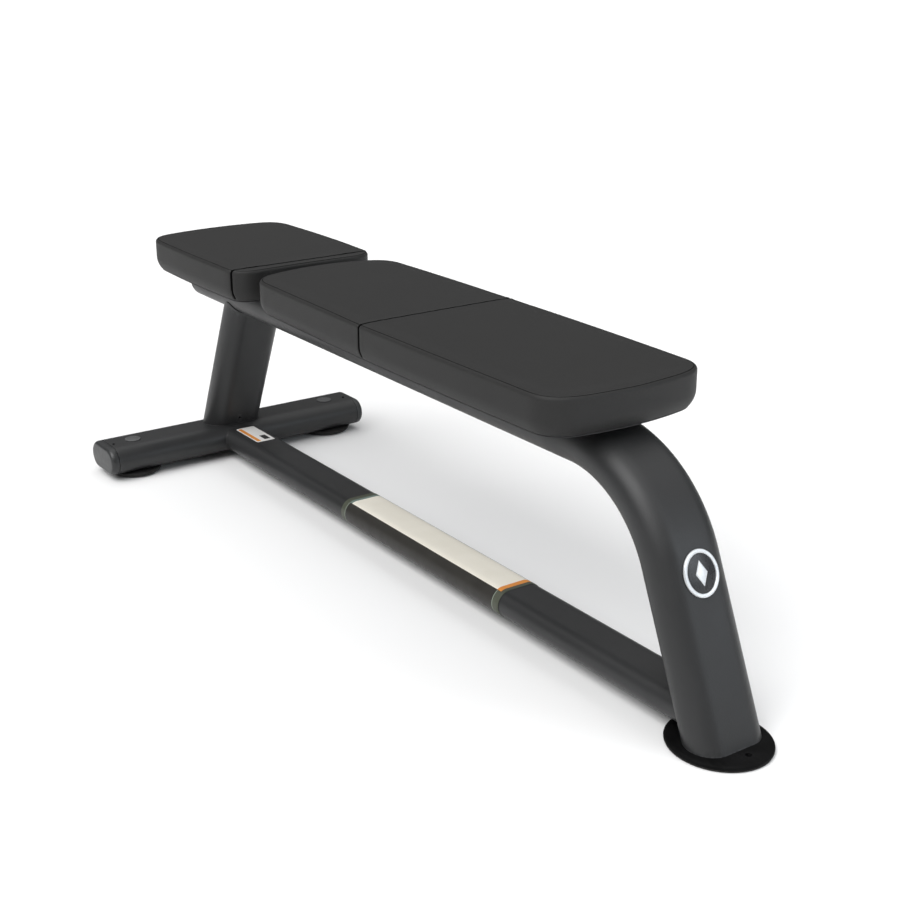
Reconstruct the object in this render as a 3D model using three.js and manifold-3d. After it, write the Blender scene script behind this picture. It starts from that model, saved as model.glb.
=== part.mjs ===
// A fixed flat weight bench: a main pad and a head pad on one bent main tube, with a raked rear leg,
// a rear cross tube on rubber feet and a low stretcher tube. Millimetres, +Z up, +X towards the front
// leg. The origin is on the floor, in the middle of the footprint.

import * as THREE from 'three';
import { mergeVertices } from 'three/addons/utils/BufferGeometryUtils.js';
import Module from 'manifold-3d';

const wasm = await Module();
wasm.setup();

// ---- Driving dimensions -------------------------------------------------------------------------

const footprintLength = 1498; // rear face of the cross tube to the front edge of the foot plate
const padTopHeight = 440; // floor to the top of both pads
const seat = 0.3; // clearance between pieces that touch

const wall = 3; // wall of every steel tube

const mainTube = { thick: 64, wide: 114, bendRadius: 195, legRake: 0.43, overhang: 149, bendSteps: 14 };
const frontLegShift = 9; // leg axis at the floor, ahead of the foot plate's centre

const rearLeg = { thick: 63, wide: 112, rake: 0.46, setBack: 17.5, drainAbove: 25, drainRadius: 3 };

const crossTube = { deep: 102, tall: 52, length: 520 };
const stretcher = { wide: 80, tall: 42 };

const footPlate = { halfX: 75, halfY: 69, thick: 6, rimDrop: 3.5, rimIn: 6 };
const footPlatePad = { thick: 2.7, inset: 1 };
const anchorHole = { radius: 4.5, fromEdge: 22 };

const rubberFoot = {
  y: 211, height: 10, bottomRadius: 40, topRadius: 50, recessRadius: 12, recessDepth: 6.2,
};
const footBolt = { shaftRadius: 4, headRadius: 7.5, headHeight: 3.6, length: 20 };
const footWasher = { radius: 10, thick: 1.4 };
const footNut = { acrossFlats: 13, height: 6.5 };

const accessPlug = { radius: 14.8, holeRadius: 12.5, rise: 2.4, barrel: 8 };
const endCap = { rim: 6.5, dome: 8.5, domeIn: 7, spigot: 20, spigotWall: 2.5 };
const capScrew = { headRadius: 2.4, headHeight: 0.9, shaftRadius: 1.5, length: 7, fromEnd: 7, shiftX: 7 };
const beamCap = { rim: 4, dome: 6, domeIn: 6, spigot: 18, spigotWall: 2.5 };

const padThickness = 57; // base cover, board and cushion together
const baseCover = { thick: 2.2, inset: 9, holeRadius: 5 };
const padBoard = { thick: 15, inset: 14 };
const cushion = { crown: 6, crownSteps: 4, drawIn: 7.6, drawInHeight: 21 };

const headPadOverhang = 21; // head pad's rear end, behind the main tube's rear end
const padGap = 26.5; // between the two pads, on the centre line
const headPadShape = {
  length: 369, rearHalf: 136, middleHalf: 142, frontHalf: 137,
  rearBow: 18, frontBow: -8, rearCorner: 42, frontCorner: 48, plates: [181],
};
const mainPadShape = {
  length: 842, rearHalf: 134, middleHalf: 143, frontHalf: 137,
  rearBow: 30, frontBow: 20, rearCorner: 38, frontCorner: 42, plates: [145, 645],
};

const mountPlate = { long: 190, wide: 60, thick: 4.5, corner: 8 };
const mountBolt = { y: 80, shaftRadius: 4, headAcrossFlats: 13, headHeight: 5.3, length: 20 };
const mountWasher = { radius: 8, thick: 1.6 };
const teeNut = { barrelRadius: 5.2, barrelLength: 9, flangeRadius: 11, flangeThick: 1.5 };

const badge = { wide: 58, tall: 64, thick: 3.5, centreHeight: 222, bevel: 1.2 };
const wrap = { toCrossTube: 438, length: 455, thick: 0.5 };
const label = { toCrossTube: 1, length: 90, wide: 38, shiftY: 1, thick: 0.5 };

// ---- Places worked out from the driving dimensions ----------------------------------------------

const crossTubeX = -footprintLength / 2 + crossTube.deep / 2;
const crossTubeZ = rubberFoot.height + seat + crossTube.tall / 2;
const crossTubeTop = crossTubeZ + crossTube.tall / 2;
const footPlateX = footprintLength / 2 - footPlate.halfX;
const footPlateBottom = footPlatePad.thick + seat;
const footPlateTop = footPlateBottom + footPlate.thick;

const padBottom = padTopHeight - padThickness;
const coverTop = padBottom + baseCover.thick;
const boardBottom = coverTop + seat;
const mountPlateTop = padBottom - seat;
const mountPlateBottom = mountPlateTop - mountPlate.thick;
const beamTop = mountPlateBottom - seat;
const beamZ = beamTop - mainTube.thick / 2;

const frontLegFloorX = footPlateX + frontLegShift;
const stretcherTop = crossTubeZ + stretcher.tall / 2;
const crossTubeFrontX = crossTubeX + crossTube.deep / 2;

const rearLegTopX = crossTubeX - rearLeg.setBack + rearLeg.rake * (beamZ - crossTubeZ);
const mainTubeRearX = rearLegTopX - mainTube.overhang;
const headPad = placePad(headPadShape, mainTubeRearX - headPadOverhang);
const mainPad = placePad(mainPadShape, headPad.frontX + padGap);

function placePad(shape, rearX) {
  const plateXs = shape.plates.map((fromRear) => rearX + fromRear);
  return { ...shape, rearX, frontX: rearX + shape.length, plateXs };
}

// ---- Helpers ------------------------------------------------------------------------------------

// A flat oval: two straight sides joined by full half circles across its longer direction.
function flatOval(sizeX, sizeY) {
  const shape = new THREE.Shape();
  const radius = Math.min(sizeX, sizeY) / 2;
  const halfX = sizeX / 2 - radius;
  const halfY = sizeY / 2 - radius;
  if (halfX > 0) {
    shape.absarc(halfX, 0, radius, -Math.PI / 2, Math.PI / 2, false);
    shape.absarc(-halfX, 0, radius, Math.PI / 2, Math.PI * 1.5, false);
  } else {
    shape.absarc(0, halfY, radius, 0, Math.PI, false);
    shape.absarc(0, -halfY, radius, Math.PI, Math.PI * 2, false);
  }
  shape.closePath();
  return shape;
}

function extrude(shape, depth, curveSegments = 6) {
  return new THREE.ExtrudeGeometry(shape, { depth, bevelEnabled: false, curveSegments });
}

// An extrusion whose outline is drawn in by levels[k].inset at height levels[k].z.
function contoured(shape, levels, curveSegments = 6) {
  const steps = levels.length - 1;
  const options = { depth: steps, steps, bevelEnabled: false, curveSegments };
  const geometry = new THREE.ExtrudeGeometry(shape, options);
  geometry.computeBoundingBox();
  const box = geometry.boundingBox;
  const centre = box.getCenter(new THREE.Vector3());
  const half = box.getSize(new THREE.Vector3()).multiplyScalar(0.5);
  const position = geometry.attributes.position;
  for (let i = 0; i < position.count; i++) {
    const level = levels[Math.round(position.getZ(i))];
    const x = centre.x + (position.getX(i) - centre.x) * (1 - level.inset / half.x);
    const y = centre.y + (position.getY(i) - centre.y) * (1 - level.inset / half.y);
    position.setXYZ(i, x, y, level.z);
  }
  return geometry;
}

// A turned piece about Z from [radius, height] points, listed from the bottom to the top.
function turned(points, segments = 16) {
  const profile = points.map(([radius, height]) => new THREE.Vector2(radius, height));
  return new THREE.LatheGeometry(profile, segments).rotateX(Math.PI / 2);
}

function ring(outerRadius, innerRadius, height) {
  const [inner, outer] = [innerRadius, outerRadius];
  return turned([[inner, 0], [outer, 0], [outer, height], [inner, height], [inner, 0]]);
}

function rod(radius, height, segments = 16) {
  return turned([[0, 0], [radius, 0], [radius, height], [0, height]], segments);
}

function hexShape(acrossFlats) {
  const radius = acrossFlats / Math.sqrt(3);
  const shape = new THREE.Shape();
  for (let i = 0; i < 6; i++) {
    const angle = (i * Math.PI) / 3;
    const method = i === 0 ? 'moveTo' : 'lineTo';
    shape[method](radius * Math.cos(angle), radius * Math.sin(angle));
  }
  shape.closePath();
  return shape;
}

function toSolid(geometry) {
  const bare = geometry.clone();
  bare.deleteAttribute('normal');
  bare.deleteAttribute('uv');
  const merged = mergeVertices(bare, 1e-4);
  const index = merged.index.array;
  const triangles = [];
  for (let i = 0; i < index.length; i += 3) {
    const [a, b, c] = [index[i], index[i + 1], index[i + 2]];
    if (a !== b && b !== c && c !== a) {
      triangles.push(a, b, c);
    }
  }
  const vertProperties = new Float32Array(merged.attributes.position.array);
  const triVerts = new Uint32Array(triangles);
  return new wasm.Manifold(new wasm.Mesh({ numProp: 3, vertProperties, triVerts }));
}

function toGeometry(solid) {
  const mesh = solid.getMesh();
  const geometry = new THREE.BufferGeometry();
  geometry.setAttribute('position', new THREE.BufferAttribute(new Float32Array(mesh.vertProperties), 3));
  geometry.setIndex(new THREE.BufferAttribute(new Uint32Array(mesh.triVerts), 1));
  geometry.computeVertexNormals();
  return geometry;
}

function cut(base, ...cutters) {
  return toGeometry(cutters.reduce((solid, cutter) => solid.subtract(toSolid(cutter)), toSolid(base)));
}

function join(base, ...others) {
  return toGeometry(others.reduce((solid, other) => solid.add(toSolid(other)), toSolid(base)));
}

function moved(geometry, x, y, z) {
  return geometry.translate(x, y, z);
}

const bench = new THREE.Group();

function add(name, geometry, look, place = [0, 0, 0]) {
  const material = new THREE.MeshStandardMaterial(look);
  const mesh = new THREE.Mesh(geometry, material);
  mesh.name = name;
  mesh.position.set(...place);
  bench.add(mesh);
  return mesh;
}

// ---- Looks --------------------------------------------------------------------------------------

const powderCoat = { color: 0x34353a, roughness: 0.45, metalness: 0.2 };
const blackSteel = { color: 0x18181a, roughness: 0.5, metalness: 0.2 };
const rubber = { color: 0x141414, roughness: 0.85, metalness: 0 };
const plastic = { color: 0x2b2c2f, roughness: 0.4, metalness: 0 };
const plugPlastic = { color: 0x4b4d4e, roughness: 0.35, metalness: 0 };
const vinyl = { color: 0x2c2c2d, roughness: 0.6, metalness: 0 };
const plywood = { color: 0xa98355, roughness: 0.8, metalness: 0 };
const zinc = { color: 0xb9bcc0, roughness: 0.35, metalness: 0.9 };
const silver = { color: 0xe1e6e8, roughness: 0.3, metalness: 0.6 };
const wrapFilm = { color: 0x302e2a, roughness: 0.4, metalness: 0 };
const labelFilm = { color: 0xe8e8e6, roughness: 0.5, metalness: 0 };

// ---- Steel frame --------------------------------------------------------------------------------

// The main tube's centre line: level, bent down through one radius, then raked to the floor.
class MainTubeLine extends THREE.Curve {
  constructor(extraLength) {
    super();
    const { bendRadius, legRake, bendSteps } = mainTube;
    this.turn = Math.PI / 2 - Math.atan(legRake);
    const cornerX = frontLegFloorX - legRake * beamZ;
    const bendStartX = cornerX - bendRadius * Math.tan(this.turn / 2);
    this.centre = new THREE.Vector3(bendStartX, 0, beamZ - bendRadius);
    this.start = new THREE.Vector3(mainTubeRearX - extraLength, 0, beamZ);
    this.end = new THREE.Vector3(frontLegFloorX + legRake * extraLength, 0, -extraLength);
    this.steps = bendSteps + 2;
  }

  onBend(angle) {
    const { bendRadius } = mainTube;
    const { centre } = this;
    return new THREE.Vector3(
      centre.x + bendRadius * Math.sin(angle),
      0,
      centre.z + bendRadius * Math.cos(angle),
    );
  }

  angleAt(t) {
    const share = (t * this.steps - 1) / mainTube.bendSteps;
    return this.turn * THREE.MathUtils.clamp(share, 0, 1);
  }

  getPoint(t) {
    const step = t * this.steps;
    if (step < 1) {
      return this.start.clone().lerp(this.onBend(0), step);
    }
    if (step > this.steps - 1) {
      return this.onBend(this.turn).lerp(this.end, step - (this.steps - 1));
    }
    return this.onBend(this.angleAt(t));
  }

  getTangent(t) {
    const angle = this.angleAt(t);
    return new THREE.Vector3(Math.cos(angle), 0, -Math.sin(angle));
  }

  // The steps stay where the bend needs them, and are not spread evenly by length.
  getUtoTmapping(u) {
    return u;
  }
}

function mainTubeSweep(grow, extraLength) {
  const line = new MainTubeLine(extraLength);
  const shape = flatOval(mainTube.thick + 2 * grow, mainTube.wide + 2 * grow);
  return new THREE.ExtrudeGeometry(shape, { steps: line.steps, extrudePath: line, curveSegments: 6 });
}

function crossTubeBar(grow, extraLength) {
  const shape = flatOval(crossTube.deep + 2 * grow, crossTube.tall + 2 * grow);
  const length = crossTube.length + 2 * extraLength;
  const bar = extrude(shape, length).translate(0, 0, -length / 2).rotateX(Math.PI / 2);
  return moved(bar, crossTubeX, 0, crossTubeZ);
}

function makeMainTube() {
  const reach = footprintLength;
  const floorBlock = new THREE.BoxGeometry(reach, reach, 200);
  moved(floorBlock, frontLegFloorX, 0, footPlateTop + seat - 100);
  return cut(mainTubeSweep(0, 50), mainTubeSweep(-wall, 80), floorBlock, rearTrim());
}

// Takes off the sweep's extra length behind the main tube's rear end.
function rearTrim() {
  const block = new THREE.BoxGeometry(200, mainTube.wide * 2, mainTube.wide * 2);
  return moved(block, mainTubeRearX - 100, 0, beamZ);
}

// A straight bar along the rear leg's axis, from the cross tube's axis to the main tube's axis.
function rearLegBar(grow, extraLength) {
  const rise = beamZ - crossTubeZ;
  const slant = Math.hypot(1, rearLeg.rake);
  const length = rise * slant + 2 * extraLength;
  const shape = flatOval(rearLeg.thick + 2 * grow, rearLeg.wide + 2 * grow);
  const bar = extrude(shape, length).translate(0, 0, -extraLength);
  bar.rotateY(Math.atan(rearLeg.rake));
  return moved(bar, crossTubeX - rearLeg.setBack, 0, crossTubeZ);
}

// A drill through the rear leg's front face, square to it, starting on the leg's axis.
function drainCutter() {
  const { rake, thick, drainAbove, drainRadius, setBack } = rearLeg;
  const rise = crossTube.tall / 2 + drainAbove;
  const cutter = rod(drainRadius, thick).rotateY(Math.PI / 2 + Math.atan(rake));
  return moved(cutter, crossTubeX - setBack + rake * rise, 0, crossTubeZ + rise);
}

function makeRearLeg() {
  const neighbours = [crossTubeBar(seat, 0), mainTubeSweep(seat, 50)];
  return cut(rearLegBar(0, 0), rearLegBar(-wall, 20), ...neighbours, drainCutter());
}

function makeCrossTube() {
  const cutters = [crossTubeBar(-wall, 20)];
  for (const side of [-1, 1]) {
    const y = side * rubberFoot.y;
    cutters.push(moved(rod(accessPlug.holeRadius, 20), crossTubeX, y, crossTubeTop - 10));
    cutters.push(moved(rod(footBolt.shaftRadius + seat, 20), crossTubeX, y, rubberFoot.height - 10));
    cutters.push(capScrewHole(side));
  }
  return cut(crossTubeBar(0, 0), ...cutters);
}

function stretcherBar(grow, extraLength) {
  const length = frontLegFloorX - crossTubeX + 2 * extraLength;
  const shape = flatOval(stretcher.tall + 2 * grow, stretcher.wide + 2 * grow);
  const bar = extrude(shape, length).translate(0, 0, -extraLength).rotateY(Math.PI / 2);
  return moved(bar, crossTubeX, 0, crossTubeZ);
}

function makeStretcher() {
  const toLeg = frontLegFloorX - mainTube.legRake * crossTubeZ - crossTubeX;
  const shape = flatOval(stretcher.tall, stretcher.wide);
  const bar = moved(extrude(shape, toLeg).rotateY(Math.PI / 2), crossTubeX, 0, crossTubeZ);
  return cut(bar, stretcherBar(-wall, 20), crossTubeBar(seat, 0), mainTubeSweep(seat, 50));
}

add('main_frame_tube', makeMainTube(), powderCoat);
add('rear_leg_tube', makeRearLeg(), powderCoat);
add('rear_cross_tube', makeCrossTube(), powderCoat);
add('lower_stretcher_tube', makeStretcher(), powderCoat);

// ---- Front foot ---------------------------------------------------------------------------------

function ellipse(halfX, halfY) {
  const shape = new THREE.Shape();
  shape.absellipse(0, 0, halfX, halfY, 0, Math.PI * 2, false, 0);
  return shape;
}

function anchorCutter(radius) {
  return moved(rod(radius, 40), footPlate.halfX - anchorHole.fromEdge, 0, -20);
}

function makeFootPlate() {
  const { halfX, halfY, thick, rimDrop, rimIn } = footPlate;
  const levels = [
    { z: 0, inset: 0 },
    { z: thick - rimDrop, inset: 0 },
    { z: thick - rimDrop * 0.4, inset: rimIn * 0.4 },
    { z: thick, inset: rimIn },
  ];
  return cut(contoured(ellipse(halfX, halfY), levels, 20), anchorCutter(anchorHole.radius));
}

function makeFootPlatePad() {
  const { thick, inset } = footPlatePad;
  const disc = extrude(ellipse(footPlate.halfX - inset, footPlate.halfY - inset), thick, 20);
  return cut(disc, anchorCutter(anchorHole.radius + seat));
}

add('front_foot_plate', makeFootPlate(), blackSteel, [footPlateX, 0, footPlateBottom]);
add('front_foot_plate_pad', makeFootPlatePad(), rubber, [footPlateX, 0, 0]);

// ---- Rear feet, plugs and end caps --------------------------------------------------------------

function makeRubberFoot() {
  const { height, bottomRadius, topRadius, recessRadius, recessDepth } = rubberFoot;
  const boltHole = footBolt.shaftRadius + seat;
  const spread = topRadius - bottomRadius;
  const points = [[recessRadius, 0], [bottomRadius, 0]];
  for (let i = 1; i <= 3; i++) {
    const angle = (i / 3) * (Math.PI / 2);
    points.push([bottomRadius + spread * Math.sin(angle), height * 0.8 * (1 - Math.cos(angle))]);
  }
  points.push([topRadius, height], [boltHole, height], [boltHole, recessDepth]);
  points.push([recessRadius, recessDepth], [recessRadius, 0]);
  return turned(points, 28);
}

function makeFootBolt() {
  const head = extrude(hexShape(footBolt.headRadius * Math.sqrt(3)), footBolt.headHeight);
  const shaft = moved(rod(footBolt.shaftRadius, footBolt.length + 1), 0, 0, footBolt.headHeight - 1);
  return join(head, shaft);
}

function makeNut() {
  const shape = hexShape(footNut.acrossFlats);
  const hole = new THREE.Path();
  hole.absarc(0, 0, footBolt.shaftRadius + seat, 0, Math.PI * 2, true);
  shape.holes.push(hole);
  return extrude(shape, footNut.height);
}

function makeAccessPlug() {
  const { radius, holeRadius, rise, barrel } = accessPlug;
  const barrelRadius = holeRadius - seat;
  return turned(
    [[0, -barrel], [barrelRadius - 1, -barrel], [barrelRadius, 1 - barrel], [barrelRadius, 0], [radius, 0],
      [radius, rise * 0.4], [radius - 1.5, rise * 0.75], [radius * 0.5, rise * 0.95], [0, rise]],
    24,
  );
}

// A domed plug for an open tube end: it faces +Z, and its hollow spigot goes down into the tube.
function plugCap(sizeX, sizeY, cap) {
  const { rim, dome, domeIn, spigot, spigotWall } = cap;
  const levels = [{ z: seat, inset: 0 }, { z: rim, inset: 0 }];
  for (let i = 1; i <= 3; i++) {
    const angle = (i / 3) * (Math.PI / 2);
    levels.push({ z: rim + dome * Math.sin(angle), inset: domeIn * (1 - Math.cos(angle)) });
  }
  const cover = contoured(flatOval(sizeX, sizeY), levels);
  const less = 2 * (wall + seat);
  const sleeve = extrude(flatOval(sizeX - less, sizeY - less), spigot + 2);
  moved(sleeve, 0, 0, -spigot);
  const lessInside = less + 2 * spigotWall;
  const hollow = extrude(flatOval(sizeX - lessInside, sizeY - lessInside), spigot);
  moved(hollow, 0, 0, -spigot - 2);
  return cut(join(cover, sleeve), hollow);
}

function capScrewHole(side) {
  const y = side * (crossTube.length / 2 - capScrew.fromEnd);
  const hole = rod(capScrew.shaftRadius + seat, capScrew.length + 2, 12);
  return moved(hole, crossTubeX + capScrew.shiftX, y, crossTubeTop - capScrew.length - 1);
}

function makeCrossTubeCap(side) {
  const cap = plugCap(crossTube.deep, crossTube.tall, endCap);
  cap.rotateX((-side * Math.PI) / 2);
  moved(cap, crossTubeX, (side * crossTube.length) / 2, crossTubeZ);
  return cut(cap, capScrewHole(side));
}

function makeCapScrew() {
  const { headRadius, headHeight, shaftRadius, length } = capScrew;
  return turned(
    [[0, -length], [shaftRadius, -length], [shaftRadius, 0], [headRadius, 0], [headRadius, headHeight * 0.5],
      [headRadius * 0.7, headHeight], [0, headHeight]],
    12,
  );
}

function makeBeamCap() {
  const cap = plugCap(mainTube.thick, mainTube.wide, beamCap);
  cap.rotateY(-Math.PI / 2);
  return moved(cap, mainTubeRearX, 0, beamZ);
}

const sides = { left: 1, right: -1 };
for (const [name, side] of Object.entries(sides)) {
  const y = side * rubberFoot.y;
  const headBottom = rubberFoot.recessDepth - seat - footWasher.thick - seat - footBolt.headHeight;
  const tubeFloor = rubberFoot.height + seat + wall + seat;
  add(`rubber_foot_${name}`, makeRubberFoot(), rubber, [crossTubeX, y, 0]);
  add(`foot_bolt_${name}`, makeFootBolt(), zinc, [crossTubeX, y, headBottom]);
  const washer = ring(footWasher.radius, footBolt.shaftRadius + seat, footWasher.thick);
  add(`foot_washer_${name}`, washer, zinc, [crossTubeX, y, headBottom + footBolt.headHeight + seat]);
  add(`foot_nut_${name}`, makeNut(), zinc, [crossTubeX, y, tubeFloor]);
  add(`access_plug_${name}`, makeAccessPlug(), plugPlastic, [crossTubeX, y, crossTubeTop + seat]);
  add(`cross_tube_end_cap_${name}`, makeCrossTubeCap(side), plastic);
  const screwX = crossTubeX + capScrew.shiftX;
  const screwY = side * (crossTube.length / 2 - capScrew.fromEnd);
  add(`end_cap_screw_${name}`, makeCapScrew(), blackSteel, [screwX, screwY, crossTubeTop + seat]);
}
add('main_tube_end_cap', makeBeamCap(), plastic);

// ---- Pads ---------------------------------------------------------------------------------------

// A pad's plan outline, drawn in by inset: bowed sides and ends with soft corners.
function padOutline(pad, inset, samples = 8) {
  const rearX = pad.rearX + pad.rearBow + inset;
  const frontX = pad.frontX - pad.frontBow - inset;
  const rearHalf = pad.rearHalf - inset;
  const frontHalf = pad.frontHalf - inset;
  const sideY = 2 * (pad.middleHalf - inset) - (rearHalf + frontHalf) / 2;
  const sideX = (rearX + frontX) / 2;
  const corners = [
    new THREE.Vector2(rearX, -rearHalf),
    new THREE.Vector2(frontX, -frontHalf),
    new THREE.Vector2(frontX, frontHalf),
    new THREE.Vector2(rearX, rearHalf),
  ];
  const controls = [
    new THREE.Vector2(sideX, -sideY),
    new THREE.Vector2(frontX + 2 * pad.frontBow, 0),
    new THREE.Vector2(sideX, sideY),
    new THREE.Vector2(rearX - 2 * pad.rearBow, 0),
  ];
  const radii = [pad.rearCorner, pad.frontCorner, pad.frontCorner, pad.rearCorner].map((r) => r - inset);
  const edges = corners.map((corner, i) => {
    const next = corners[(i + 1) % 4];
    const curve = new THREE.QuadraticBezierCurve(corner, controls[i], next);
    const length = corner.distanceTo(next);
    return { curve, from: radii[i] / length, to: 1 - radii[(i + 1) % 4] / length };
  });
  const shape = new THREE.Shape();
  edges.forEach(({ curve, from, to }, i) => {
    for (let k = 0; k <= samples; k++) {
      const point = curve.getPoint(from + ((to - from) * k) / samples);
      const method = i === 0 && k === 0 ? 'moveTo' : 'lineTo';
      shape[method](point.x, point.y);
    }
    const next = edges[(i + 1) % 4];
    const start = next.curve.getPoint(next.from);
    const corner = corners[(i + 1) % 4];
    shape.quadraticCurveTo(corner.x, corner.y, start.x, start.y);
  });
  return shape;
}

function makeCushion(pad) {
  const height = padTopHeight - boardBottom;
  const { crown, crownSteps, drawIn, drawInHeight } = cushion;
  const levels = [{ z: 0, inset: drawIn }, { z: drawInHeight, inset: 0 }];
  for (let i = 0; i <= crownSteps; i++) {
    const angle = (i / crownSteps) * (Math.PI / 2);
    levels.push({ z: height - crown + crown * Math.sin(angle), inset: crown * (1 - Math.cos(angle)) });
  }
  const pocket = extrude(padOutline(pad, padBoard.inset - seat, 4), padBoard.thick + seat + 1, 3);
  return cut(contoured(padOutline(pad, 0), levels), moved(pocket, 0, 0, -1));
}

function fixings(pad) {
  return pad.plateXs.flatMap((x) => [-1, 1].map((side) => ({ x, y: side * mountBolt.y })));
}

function makeBoard(pad) {
  const { barrelRadius, flangeRadius, flangeThick } = teeNut;
  const holes = fixings(pad).flatMap(({ x, y }) => [
    moved(rod(barrelRadius + seat, padBoard.thick + 2), x, y, -1),
    moved(rod(flangeRadius + seat, flangeThick + seat + 1), x, y, padBoard.thick - flangeThick - seat),
  ]);
  return cut(extrude(padOutline(pad, padBoard.inset, 4), padBoard.thick, 3), ...holes);
}

function makeBaseCover(pad) {
  const { thick, holeRadius } = baseCover;
  const holes = fixings(pad).map(({ x, y }) => moved(rod(holeRadius, thick + 2), x, y, -1));
  return cut(extrude(padOutline(pad, baseCover.inset), thick, 4), ...holes);
}

function roundedRectangle(sizeX, sizeY, radius) {
  const shape = new THREE.Shape();
  const [x, y] = [sizeX / 2, sizeY / 2];
  shape.moveTo(radius - x, -y);
  shape.lineTo(x - radius, -y);
  shape.quadraticCurveTo(x, -y, x, radius - y);
  shape.lineTo(x, y - radius);
  shape.quadraticCurveTo(x, y, x - radius, y);
  shape.lineTo(radius - x, y);
  shape.quadraticCurveTo(-x, y, -x, y - radius);
  shape.lineTo(-x, radius - y);
  shape.quadraticCurveTo(-x, -y, radius - x, -y);
  return shape;
}

function makeMountPlate() {
  const shape = roundedRectangle(mountPlate.wide, mountPlate.long, mountPlate.corner);
  for (const side of [-1, 1]) {
    const hole = new THREE.Path();
    hole.absarc(0, side * mountBolt.y, mountBolt.shaftRadius + seat, 0, Math.PI * 2, true);
    shape.holes.push(hole);
  }
  return extrude(shape, mountPlate.thick, 5);
}

function makeMountBolt() {
  const head = extrude(hexShape(mountBolt.headAcrossFlats), mountBolt.headHeight);
  const shaft = moved(rod(mountBolt.shaftRadius, mountBolt.length + 1), 0, 0, mountBolt.headHeight - 1);
  return join(head, shaft);
}

function makeTeeNut() {
  const { barrelRadius, barrelLength, flangeRadius, flangeThick } = teeNut;
  const bore = mountBolt.shaftRadius + seat;
  return turned(
    [[bore, -barrelLength], [barrelRadius, -barrelLength], [barrelRadius, 0], [flangeRadius, 0],
      [flangeRadius, flangeThick], [bore, flangeThick], [bore, -barrelLength]],
  );
}

function addPad(name, pad) {
  add(`${name}_cushion`, makeCushion(pad), vinyl, [0, 0, boardBottom]);
  add(`${name}_board`, makeBoard(pad), plywood, [0, 0, boardBottom]);
  add(`${name}_base_cover`, makeBaseCover(pad), plastic, [0, 0, padBottom]);
  pad.plateXs.forEach((x, i) => {
    add(`${name}_mount_plate_${i + 1}`, makeMountPlate(), powderCoat, [x, 0, mountPlateBottom]);
  });
  const washerZ = mountPlateBottom - seat - mountWasher.thick;
  const boltZ = washerZ - seat - mountBolt.headHeight;
  fixings(pad).forEach(({ x, y }, i) => {
    const washer = ring(mountWasher.radius, mountBolt.shaftRadius + seat, mountWasher.thick);
    add(`${name}_bolt_${i + 1}`, makeMountBolt(), zinc, [x, y, boltZ]);
    add(`${name}_washer_${i + 1}`, washer, zinc, [x, y, washerZ]);
    const flangeZ = boardBottom + padBoard.thick - teeNut.flangeThick;
    add(`${name}_tee_nut_${i + 1}`, makeTeeNut(), zinc, [x, y, flangeZ]);
  });
}

addPad('main_pad', mainPad);
addPad('head_pad', headPad);

// ---- Badge, wrap and label ----------------------------------------------------------------------

// An oval badge on the front face of the front leg. Its back follows the face.
function makeBadge() {
  const { wide, tall, thick, centreHeight, bevel } = badge;
  const levels = [
    { z: -4, inset: 0 },
    { z: thick - bevel, inset: 0 },
    { z: thick, inset: bevel },
  ];
  const plate = contoured(ellipse(tall / 2, wide / 2), levels, 12);
  const rake = Math.atan(mainTube.legRake);
  const faceX = frontLegFloorX - mainTube.legRake * centreHeight + (mainTube.thick / 2) / Math.cos(rake);
  plate.rotateY(Math.PI / 2 - rake);
  return cut(moved(plate, faceX, 0, centreHeight), mainTubeSweep(seat, 50));
}

function makeWrap() {
  const { toCrossTube, length, thick } = wrap;
  const grow = 2 * (seat + thick);
  const shape = flatOval(stretcher.tall + grow, stretcher.wide + grow);
  shape.holes.push(flatOval(stretcher.tall + 2 * seat, stretcher.wide + 2 * seat));
  return moved(extrude(shape, length).rotateY(Math.PI / 2), crossTubeFrontX + toCrossTube, 0, crossTubeZ);
}

function makeLabel() {
  const { toCrossTube, length, wide, shiftY, thick } = label;
  const shape = roundedRectangle(length, wide, 3);
  const x = crossTubeFrontX + toCrossTube + length / 2;
  return moved(extrude(shape, thick, 3), x, shiftY, stretcherTop + seat);
}

add('leg_badge', makeBadge(), silver);
add('stretcher_wrap', makeWrap(), wrapFilm);
add('stretcher_label', makeLabel(), labelFilm);

export default bench;
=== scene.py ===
"""Looks for a fixed flat weight bench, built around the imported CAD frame.

All shape code works in millimetres in the CAD frame; make_piece turns it into metres.
X runs along the bench with the front leg at +X, Y is across it, and Z is up from the floor.
"""

import math

import bmesh
import bpy
import numpy as np
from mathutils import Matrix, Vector


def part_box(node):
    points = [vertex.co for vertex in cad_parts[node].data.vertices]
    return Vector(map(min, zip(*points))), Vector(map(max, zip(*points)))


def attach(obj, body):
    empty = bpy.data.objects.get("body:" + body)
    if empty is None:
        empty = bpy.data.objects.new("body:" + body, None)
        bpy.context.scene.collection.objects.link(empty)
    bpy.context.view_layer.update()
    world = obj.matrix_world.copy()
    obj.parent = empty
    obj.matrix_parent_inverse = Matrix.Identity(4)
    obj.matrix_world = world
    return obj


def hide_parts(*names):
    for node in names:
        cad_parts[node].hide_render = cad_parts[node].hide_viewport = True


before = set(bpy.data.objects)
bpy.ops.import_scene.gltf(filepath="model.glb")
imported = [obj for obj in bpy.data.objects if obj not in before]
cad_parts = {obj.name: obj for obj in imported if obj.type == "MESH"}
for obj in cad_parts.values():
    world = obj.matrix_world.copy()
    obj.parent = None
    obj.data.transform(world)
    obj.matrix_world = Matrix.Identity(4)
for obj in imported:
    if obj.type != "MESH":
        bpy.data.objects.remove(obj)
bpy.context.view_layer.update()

MM = 0.001

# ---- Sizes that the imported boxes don't give, in mm ------------------------------------------------

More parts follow.
